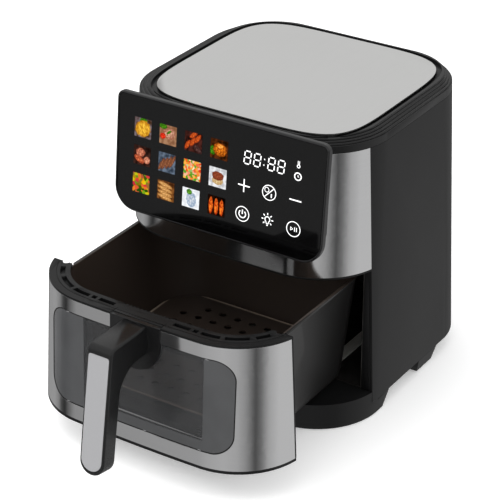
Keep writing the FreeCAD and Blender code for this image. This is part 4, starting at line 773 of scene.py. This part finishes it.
def steak(dish):
    dish.ground((0.30, 0.16, 0.09), (0.48, 0.30, 0.19))
    dish.serving(-0.6, 0.8, 0.5, 0.3, 0, LEAF_DARK, LEAF)
    dish.serving(0.15, 0.15, 0.85, 0.6, 15, (0.32, 0.10, 0.05), (0.80, 0.55, 0.42))
    dish.serving(-0.6, -0.2, 0.35, 0.33, 0, (0.45, 0.02, 0.01), (0.95, 0.12, 0.05))
    dish.serving(0.1, 0.3, 0.35, 0.12, 40, LEAF_DARK, LEAF)
    return dish


def wings(dish):
    dish.ground((0.03, 0.015, 0.012), (0.14, 0.05, 0.04))
    for x, y, turn in ((-0.65, -0.35, 60), (-0.05, 0.05, 62), (0.5, 0.45, 55), (0.0, 0.75, 40)):
        dish.serving(x, y, 0.6, 0.24, turn, (0.28, 0.03, 0.01), (0.85, 0.24, 0.06), (1, 2))
    dish.serving(0.55, -0.6, 0.6, 0.3, -35, (0.04, 0.02, 0.02), (0.22, 0.12, 0.11))
    return dish


def roast_bird(dish):
    dish.ground((0.03, 0.015, 0.005), (0.18, 0.06, 0.02))
    dish.serving(-0.75, -0.2, 0.35, 0.5, 0, LEAF_DARK, LEAF)
    dish.serving(0.1, 0.0, 0.85, 0.7, 0, CRUST_DARK, (0.95, 0.36, 0.04))
    dish.serving(0.1, 0.35, 0.4, 0.25, 0, (0.70, 0.22, 0.02), (1.0, 0.60, 0.18))
    return dish


def drumsticks(dish):
    dish.ground((0.03, 0.015, 0.012), (0.10, 0.05, 0.04))
    dish.serving(-0.2, 0.3, 0.6, 0.5, 30, (0.30, 0.08, 0.05), (0.85, 0.42, 0.28))
    dish.serving(-0.3, -0.4, 0.7, 0.35, -25, (0.28, 0.04, 0.02), (0.80, 0.30, 0.15))
    dish.serving(0.6, -0.35, 0.4, 0.4, 0, (0.40, 0.12, 0.08), (0.90, 0.52, 0.36))
    return dish


def ribs(dish):
    dish.ground((0.06, 0.08, 0.11), (0.22, 0.27, 0.34))
    for step in range(4):
        offset = (step - 1.5) * 0.42
        dish.serving(offset, offset * 0.4, 0.85, 0.2, 62, (0.13, 0.04, 0.02), (0.50, 0.25, 0.14), (1, 2))
    return dish


def pizza(dish):
    palette = [(0.75, 0.05, 0.02), (0.95, 0.62, 0.14), (0.80, 0.12, 0.03), (0.95, 0.85, 0.62), LEAF]
    return dish.chopped(4.2, palette)


def cake(dish):
    dish.ground((0.55, 0.56, 0.58), (0.85, 0.86, 0.88))
    dish.serving(0.0, -0.3, 0.66, 0.45, 0, (0.50, 0.33, 0.15), CREAM)
    dish.serving(0.0, 0.18, 0.72, 0.48, 0, (0.20, 0.045, 0.02), (0.48, 0.17, 0.09), grain=9.0)
    return dish


def vegetables(dish):
    palette = [(0.95, 0.70, 0.02), LEAF, (0.65, 0.02, 0.10), (0.90, 0.50, 0.02), LEAF_DARK]
    return dish.chopped(3.0, palette)


def toast(dish):
    dish.ground((0.10, 0.04, 0.015), (0.32, 0.15, 0.05))
    for y in (0.6, 0.15, -0.3, -0.7):
        dish.serving(-0.1, y, 0.95, 0.24, -12, (0.38, 0.16, 0.03), (0.90, 0.62, 0.30), (1, 2))
    return dish


def iced_drink(dish):
    dish.ground(PAPER, (0.90, 0.92, 0.94))
    dish.serving(0.05, -0.1, 0.6, 0.85, 0, (0.32, 0.42, 0.55), PAPER, (2, 1), 3.5)
    dish.serving(-0.2, 0.65, 0.35, 0.3, 0, LEAF_DARK, (0.25, 0.55, 0.08))
    return dish


def sausages(dish):
    dish.ground((0.004, 0.003, 0.003), (0.05, 0.02, 0.01))
    for x in (-0.62, 0.0, 0.62):
        dish.serving(x, -0.05, 0.26, 0.9, 0, (0.45, 0.04, 0.01), (1.0, 0.35, 0.06), (2, 1), 3.0)
    return dish


MENU = [
    [chips, steak, wings, roast_bird],
    [drumsticks, ribs, pizza, cake],
    [vegetables, toast, iced_drink, sausages],
]
print(sum(len(row) for row in MENU), "dishes on the menu")

# %% [markdown]
# A chip starts as a plane. Its corners are rounded with a vertex bevel, and it is extruded up by
# 0.15 mm, so that it is a real film and not paint.

# %% Picture chips on the panel
CHIP = 20.6 * MM
CHIP_THICKNESS = 0.15 * MM
CHIP_CORNER = 0.4 * MM
FIRST_COLUMN, COLUMN_PITCH = -92.0 * MM, 30.8 * MM
ROW_HEIGHTS = [90.4 * MM, 60.6 * MM, 30.4 * MM]


def picture_chip(recipe, x, y):
    """One lit picture on the drawing board, at x and y."""
    bpy.ops.mesh.primitive_plane_add(size=CHIP, location=(x, y, 0))
    chip = pick(bpy.context.object)
    bpy.ops.object.mode_set(mode="EDIT")
    bpy.ops.mesh.select_all(action="SELECT")
    bpy.ops.mesh.bevel(offset=CHIP_CORNER, affect="VERTICES", segments=3)
    bpy.ops.mesh.select_all(action="SELECT")
    bpy.ops.mesh.extrude_region_move(TRANSFORM_OT_translate={"value": (0, 0, CHIP_THICKNESS)})
    bpy.ops.mesh.select_all(action="SELECT")
    bpy.ops.mesh.normals_make_consistent(inside=False)
    bpy.ops.object.mode_set(mode="OBJECT")
    bpy.ops.object.transform_apply(location=True, rotation=True, scale=True)
    centre = board_to_panel @ Vector((x, y, 0))
    dish = Dish("dish_" + recipe.__name__, centre, CHIP / 2)
    chip.data.materials.append(recipe(dish).done())
    carry_to_panel(chip, "picture_" + recipe.__name__)


for row, height in zip(MENU, ROW_HEIGHTS):
    for column, recipe in enumerate(row):
        picture_chip(recipe, FIRST_COLUMN + column * COLUMN_PITCH, height)
print("the chips stand", round((PROUD + CHIP_THICKNESS) / MM, 2), "mm proud of the glass")

# %% [markdown]
# ## Lit symbols
#
# The symbols are strokes of even width, like a pen's. A curve with a round bevel draws such a stroke,
# and once it is a mesh it is pressed flat. Arcs and circles come from one formula, and the straight
# strokes of most symbols are given by their middle and how far they reach to either side.

# %% Strokes
STROKE = 1.35 * MM
THIN = 0.9 * MM
FLAT = 0.12


def stroke(points, closed=False, width=STROKE):
    """A flat mesh stroke through points of the drawing board."""
    curve = bpy.data.curves.new("stroke", "CURVE")
    curve.dimensions = "3D"
    curve.bevel_depth = width / 2
    curve.bevel_resolution = 2
    curve.use_fill_caps = True
    spline = curve.splines.new("POLY")
    spline.points.add(len(points) - 1)
    for point, (x, y) in zip(spline.points, points):
        point.co = (x, y, 0, 1)
    spline.use_cyclic_u = closed
    pen = bpy.data.objects.new("stroke", curve)
    bpy.context.scene.collection.objects.link(pen)
    pick(pen)
    bpy.ops.object.convert(target="MESH")
    line = bpy.context.object
    bpy.ops.object.mode_set(mode="EDIT")
    bpy.ops.mesh.select_all(action="SELECT")
    bpy.ops.transform.resize(value=(1, 1, FLAT), center_override=(0, 0, 0))
    bpy.ops.mesh.normals_make_consistent(inside=False)
    bpy.ops.object.mode_set(mode="OBJECT")
    return line


def arc(x, y, radius, start=0.0, end=360.0, steps=36):
    """Points round a centre, from one angle to another, in degrees."""
    count = steps if end - start >= 360 else steps + 1
    angles = [math.radians(start + (end - start) * index / steps) for index in range(count)]
    return [(x + radius * math.cos(angle), y + radius * math.sin(angle)) for angle in angles]


def circle(x, y, radius, width=THIN):
    """A closed round stroke."""
    return stroke(arc(x, y, radius), closed=True, width=width)


def level_bar(x, y, reach, width=STROKE):
    """A stroke that reaches as far to the left of its middle as to the right."""
    return stroke([(x - reach, y), (x + reach, y)], width=width)


def upright_bar(x, y, reach, width=STROKE):
    """A stroke that reaches as far below its middle as above it."""
    return stroke([(x, y - reach), (x, y + reach)], width=width)


print("most strokes are", round(STROKE / MM, 2), "or", round(THIN / MM, 2), "mm wide")

# %% [markdown]
# One finish lights every symbol, and one function joins the strokes of a symbol into a single piece,
# so that each symbol is one object with one name.

# %% Lit symbols from strokes
def lit_finish():
    """White light through a diffuser, a little uneven."""
    material, shader, place = start_finish(
        "lit_white", Base_Color=(0.6, 0.6, 0.6), Emission_Strength=0.95
    )
    glow = noise(place, 220.0).between(0.2, 0.5)
    connect(place.tree, glow.blend((0.80, 0.82, 0.85), (1.0, 1.0, 1.0)), shader.inputs["Emission Color"])
    return material


lit_white = lit_finish()


def symbol(name, strokes):
    """Joins strokes into one lit symbol on the panel."""
    deselect_all()
    for line in strokes:
        line.select_set(True)
    bpy.context.view_layer.objects.active = strokes[0]
    bpy.ops.object.join()
    joined = bpy.context.object
    joined.data.materials.clear()
    joined.data.materials.append(lit_white)
    carry_to_panel(joined, name)


print("symbols glow in", lit_white.name)

# %% [markdown]
# The clock shows every bar of its four digits, as it does for a moment when the fryer is plugged in.
# A digit is seven short bars, and leans a little to the right as on most cooker clocks.

# %% The clock
DIGIT_WIDTH, DIGIT_HEIGHT = 7.2 * MM, 13.2 * MM
LEAN = math.tan(math.radians(5))
DIGIT_PLACES = [34.0 * MM, 45.2 * MM, 61.6 * MM, 72.8 * MM]
DIGIT_MIDDLE = 90.4 * MM
COLON = 53.3 * MM
COLON_RISE = 3.0 * MM
BAR_GAP = 1.0 * MM
BAR_WIDTH = 1.25 * MM


def leaned(x, y):
    """Tips a point to the right in proportion to its height."""
    return (x + (y - DIGIT_MIDDLE) * LEAN, y)


def digit(x):
    """The seven bars of an eight."""
    half, rise = DIGIT_WIDTH / 2, DIGIT_HEIGHT / 2
    bars = []
    for level in (-rise, 0, rise):
        y = DIGIT_MIDDLE + level
        bars.append([leaned(x - half + BAR_GAP, y), leaned(x + half - BAR_GAP, y)])
    for side in (-half, half):
        for level in (-rise, 0):
            y = DIGIT_MIDDLE + level
            bars.append([leaned(x + side, y + BAR_GAP), leaned(x + side, y + rise - BAR_GAP)])
    return [stroke(bar, width=BAR_WIDTH) for bar in bars]


clock = [bar for place in DIGIT_PLACES for bar in digit(place)]
for rise in (-COLON_RISE, COLON_RISE):
    x, y = leaned(COLON, DIGIT_MIDDLE + rise)
    clock.append(level_bar(x, y, 0.5 * MM, width=1.4 * MM))
symbol("clock_digits", clock)
print(len(clock), "bars and dots in the clock")

# %% [markdown]
# The touch keys stand in two rows under the clock: more, time or temperature, less; then power, lamp,
# and start or pause. The four that are made of circles and bars come first.

# %% Touch keys
KEY_X = [31.6 * MM, 61.0 * MM, 91.2 * MM]
UPPER_KEYS, LOWER_KEYS = 60.4 * MM, 30.2 * MM
KEY_RING = 7.7 * MM
ARM = 6.8 * MM

left, middle, right = KEY_X
symbol("key_more", [level_bar(left, UPPER_KEYS, ARM), upright_bar(left, UPPER_KEYS, ARM)])
symbol("key_less", [level_bar(right, UPPER_KEYS, ARM)])
slash = KEY_RING * math.sqrt(0.5)
symbol("key_time_or_heat", [
    circle(middle, UPPER_KEYS, KEY_RING),
    stroke([(middle - slash, UPPER_KEYS - slash), (middle + slash, UPPER_KEYS + slash)], width=THIN),
    circle(middle - 2.8 * MM, UPPER_KEYS + 2.6 * MM, 2.4 * MM, width=0.7 * MM),
    upright_bar(middle + 2.8 * MM, UPPER_KEYS - 2.6 * MM, 2.0 * MM),
])
symbol("key_power", [
    circle(left, LOWER_KEYS, KEY_RING),
    stroke(arc(left, LOWER_KEYS, 3.9 * MM, 130, 410), width=1.2 * MM),
    upright_bar(left, LOWER_KEYS + 2.3 * MM, 2.3 * MM),
])
print("four touch keys are lit")

# %% [markdown]
# The lamp key is a bulb with seven rays. The eighth, straight down, makes room for the bulb's neck and
# cap. The start key holds a small triangle and two bars, for start and pause.

# %% The lamp and start keys
FINE = 1.1 * MM
BULB = 2.8 * MM
RAY_FROM, RAY_TO = 4.6 * MM, 6.8 * MM
DOWNWARD = 270

bulb_y = LOWER_KEYS + 2.0 * MM
neck = [(-1.6, -2.4), (-1.0, -4.6), (1.0, -4.6), (1.6, -2.4)]
lamp = []
for turn in range(0, 360, 45):
    if turn != DOWNWARD:
        ends = [arc(middle, bulb_y, reach, turn, 360, 1)[0] for reach in (RAY_FROM, RAY_TO)]
        lamp.append(stroke(ends, width=FINE))
lamp.append(stroke(arc(middle, bulb_y, BULB, -50, 230), width=FINE))
lamp.append(stroke([(middle + x * MM, bulb_y + y * MM) for x, y in neck], width=1.0 * MM))
lamp.append(level_bar(middle, bulb_y - 6.2 * MM, 0.8 * MM, width=1.2 * MM))
symbol("key_lamp", lamp)

pause_bars = [upright_bar(right + x * MM, LOWER_KEYS, 2.2 * MM, width=THIN) for x in (1.4, 3.6)]
play_tip = (right - 0.7 * MM, LOWER_KEYS)
play_back = [(right - 3.2 * MM, LOWER_KEYS + rise * MM) for rise in (-1.7, 1.7)]
symbol("key_start", [
    circle(right, LOWER_KEYS, KEY_RING),
    stroke(play_back + [play_tip], closed=True, width=FINE),
] + pause_bars)
print("the lamp has", len(lamp), "strokes, and the start key", 2 + len(pause_bars))

# %% [markdown]
# Two small signs beside the clock say what its digits count: a thermometer, which is two lines over a
# round foot, and a clock face with its two hands.

# %% The two signs
sign_x = right + 1.0 * MM
tube_sides = [upright_bar(sign_x + x * MM, 99.7 * MM, 1.7 * MM, width=0.7 * MM) for x in (-0.8, 0.8)]
symbol("sign_heat", [circle(sign_x, 96.0 * MM, 1.5 * MM)] + tube_sides)
hands = [(sign_x, 87.0 * MM), (sign_x, 85.2 * MM), (sign_x + 1.3 * MM, 85.2 * MM)]
symbol("sign_time", [
    circle(sign_x, 85.4 * MM, 3.7 * MM, width=1.2 * MM),
    stroke(hands, width=0.8 * MM),
])
print("the signs stand", round((sign_x - DIGIT_PLACES[-1]) / MM, 1), "mm right of the last digit")

# %% [markdown]
# ## The floor and the light
#
# A plain pale floor and soft studio light. The sky of the studio is even and white for everything
# matt, but what steel shows is the room it reflects: white cards with dark gaps between them. The
# world is therefore given two answers, one for mirror-like rays and one for all others. For
# mirror-like rays, a radial gradient gives the direction round the object, and a ramp lays out the
# cards and gaps. Higher up, the cards give way to one even ceiling, which the lid reflects. Floor and
# lamps are hidden from those rays, so all that steel shows of the studio is cards and ceiling.

# %% Studio
bpy.context.scene.view_settings.view_transform = "Standard"


def card(direction, brightness):
    """A stop for the ring of cards: degrees round from the front towards the right, and its light."""
    return (((direction + 90) % 360) / 360, brightness)


CARDS = [
    (-90, 0.42), (-78, 0.30), (-70, 0.08), (-62, 0.03), (-54, 0.16), (-42, 0.36), (-15, 0.50),
    (10, 0.56), (30, 0.50), (42, 0.36), (56, 0.09), (64, 0.20), (76, 0.50), (92, 0.66),
    (130, 0.66), (190, 0.30), (222, 0.18), (245, 0.36), (269, 0.42),
]
CEILING = (0.79, 0.79, 0.785)
CARDS_END, CEILING_STARTS = 0.05, 0.35
world = bpy.data.worlds.new("studio")
bpy.context.scene.world = world
world.use_nodes = True
sky = world.node_tree.nodes["Background"]
direction = Wire(world.node_tree, world.node_tree.nodes.new("ShaderNodeTexCoord").outputs["Generated"])
ring = direction.node("TexGradient", {"gradient_type": "RADIAL"}, {"Vector": direction}, output="Fac")
cards = ring.node("ValToRGB", {"stops": sorted(card(*place) for place in CARDS)}, {"Fac": ring})
mirrored = direction.axis("Z").between(CARDS_END, CEILING_STARTS).blend(cards, CEILING)
is_mirrored = direction.node("LightPath", output="Is Glossy Ray")
connect(world.node_tree, is_mirrored.blend((1.0, 1.0, 1.0), mirrored), sky.inputs["Color"])
print(len(CARDS), "stops lay out the cards")

# %% [markdown]
# The floor is a large matt plane at the height of the feet. It glows a little, which keeps it pale
# where the object shades it. Two weak softboxes, above and to the left, only give the shadows a side.

# %% Floor and softboxes
FLOOR_SIZE = 12
bpy.ops.mesh.primitive_plane_add(size=FLOOR_SIZE, location=(0, 0, cad_box[0].z))
floor = bpy.context.object
floor.name = "floor"
floor_material, floor_shader, floor_place = start_finish(
    "pale_floor", Roughness=0.9, Specular_IOR_Level=0.0,
    Emission_Color=(1.0, 1.0, 1.0), Emission_Strength=0.30,
)
floor_shade = noise(floor_place, 3.0).blend((0.93, 0.93, 0.93), (0.95, 0.95, 0.95))
connect(floor_place.tree, floor_shade, floor_shader.inputs["Base Color"])
floor.data.materials.append(floor_material)
floor.visible_glossy = False


def softbox(name, place, target, size, power):
    """A square lamp that faces a point."""
    bpy.ops.object.light_add(type="AREA", location=place)
    lamp = bpy.context.object
    lamp.name = name
    lamp.rotation_euler = (Vector(target) - Vector(place)).to_track_quat("-Z", "Y").to_euler()
    lamp.data.size = size
    lamp.data.energy = power
    lamp.visible_glossy = False


softbox("overhead_softbox", place=(-0.5, -0.3, 1.9), target=(0, 0, 0.15), size=1.4, power=12)
softbox("left_softbox", place=(-1.5, -1.1, 1.0), target=(0, -0.05, 0.15), size=1.0, power=8)
print("floor, world and two softboxes are in place")
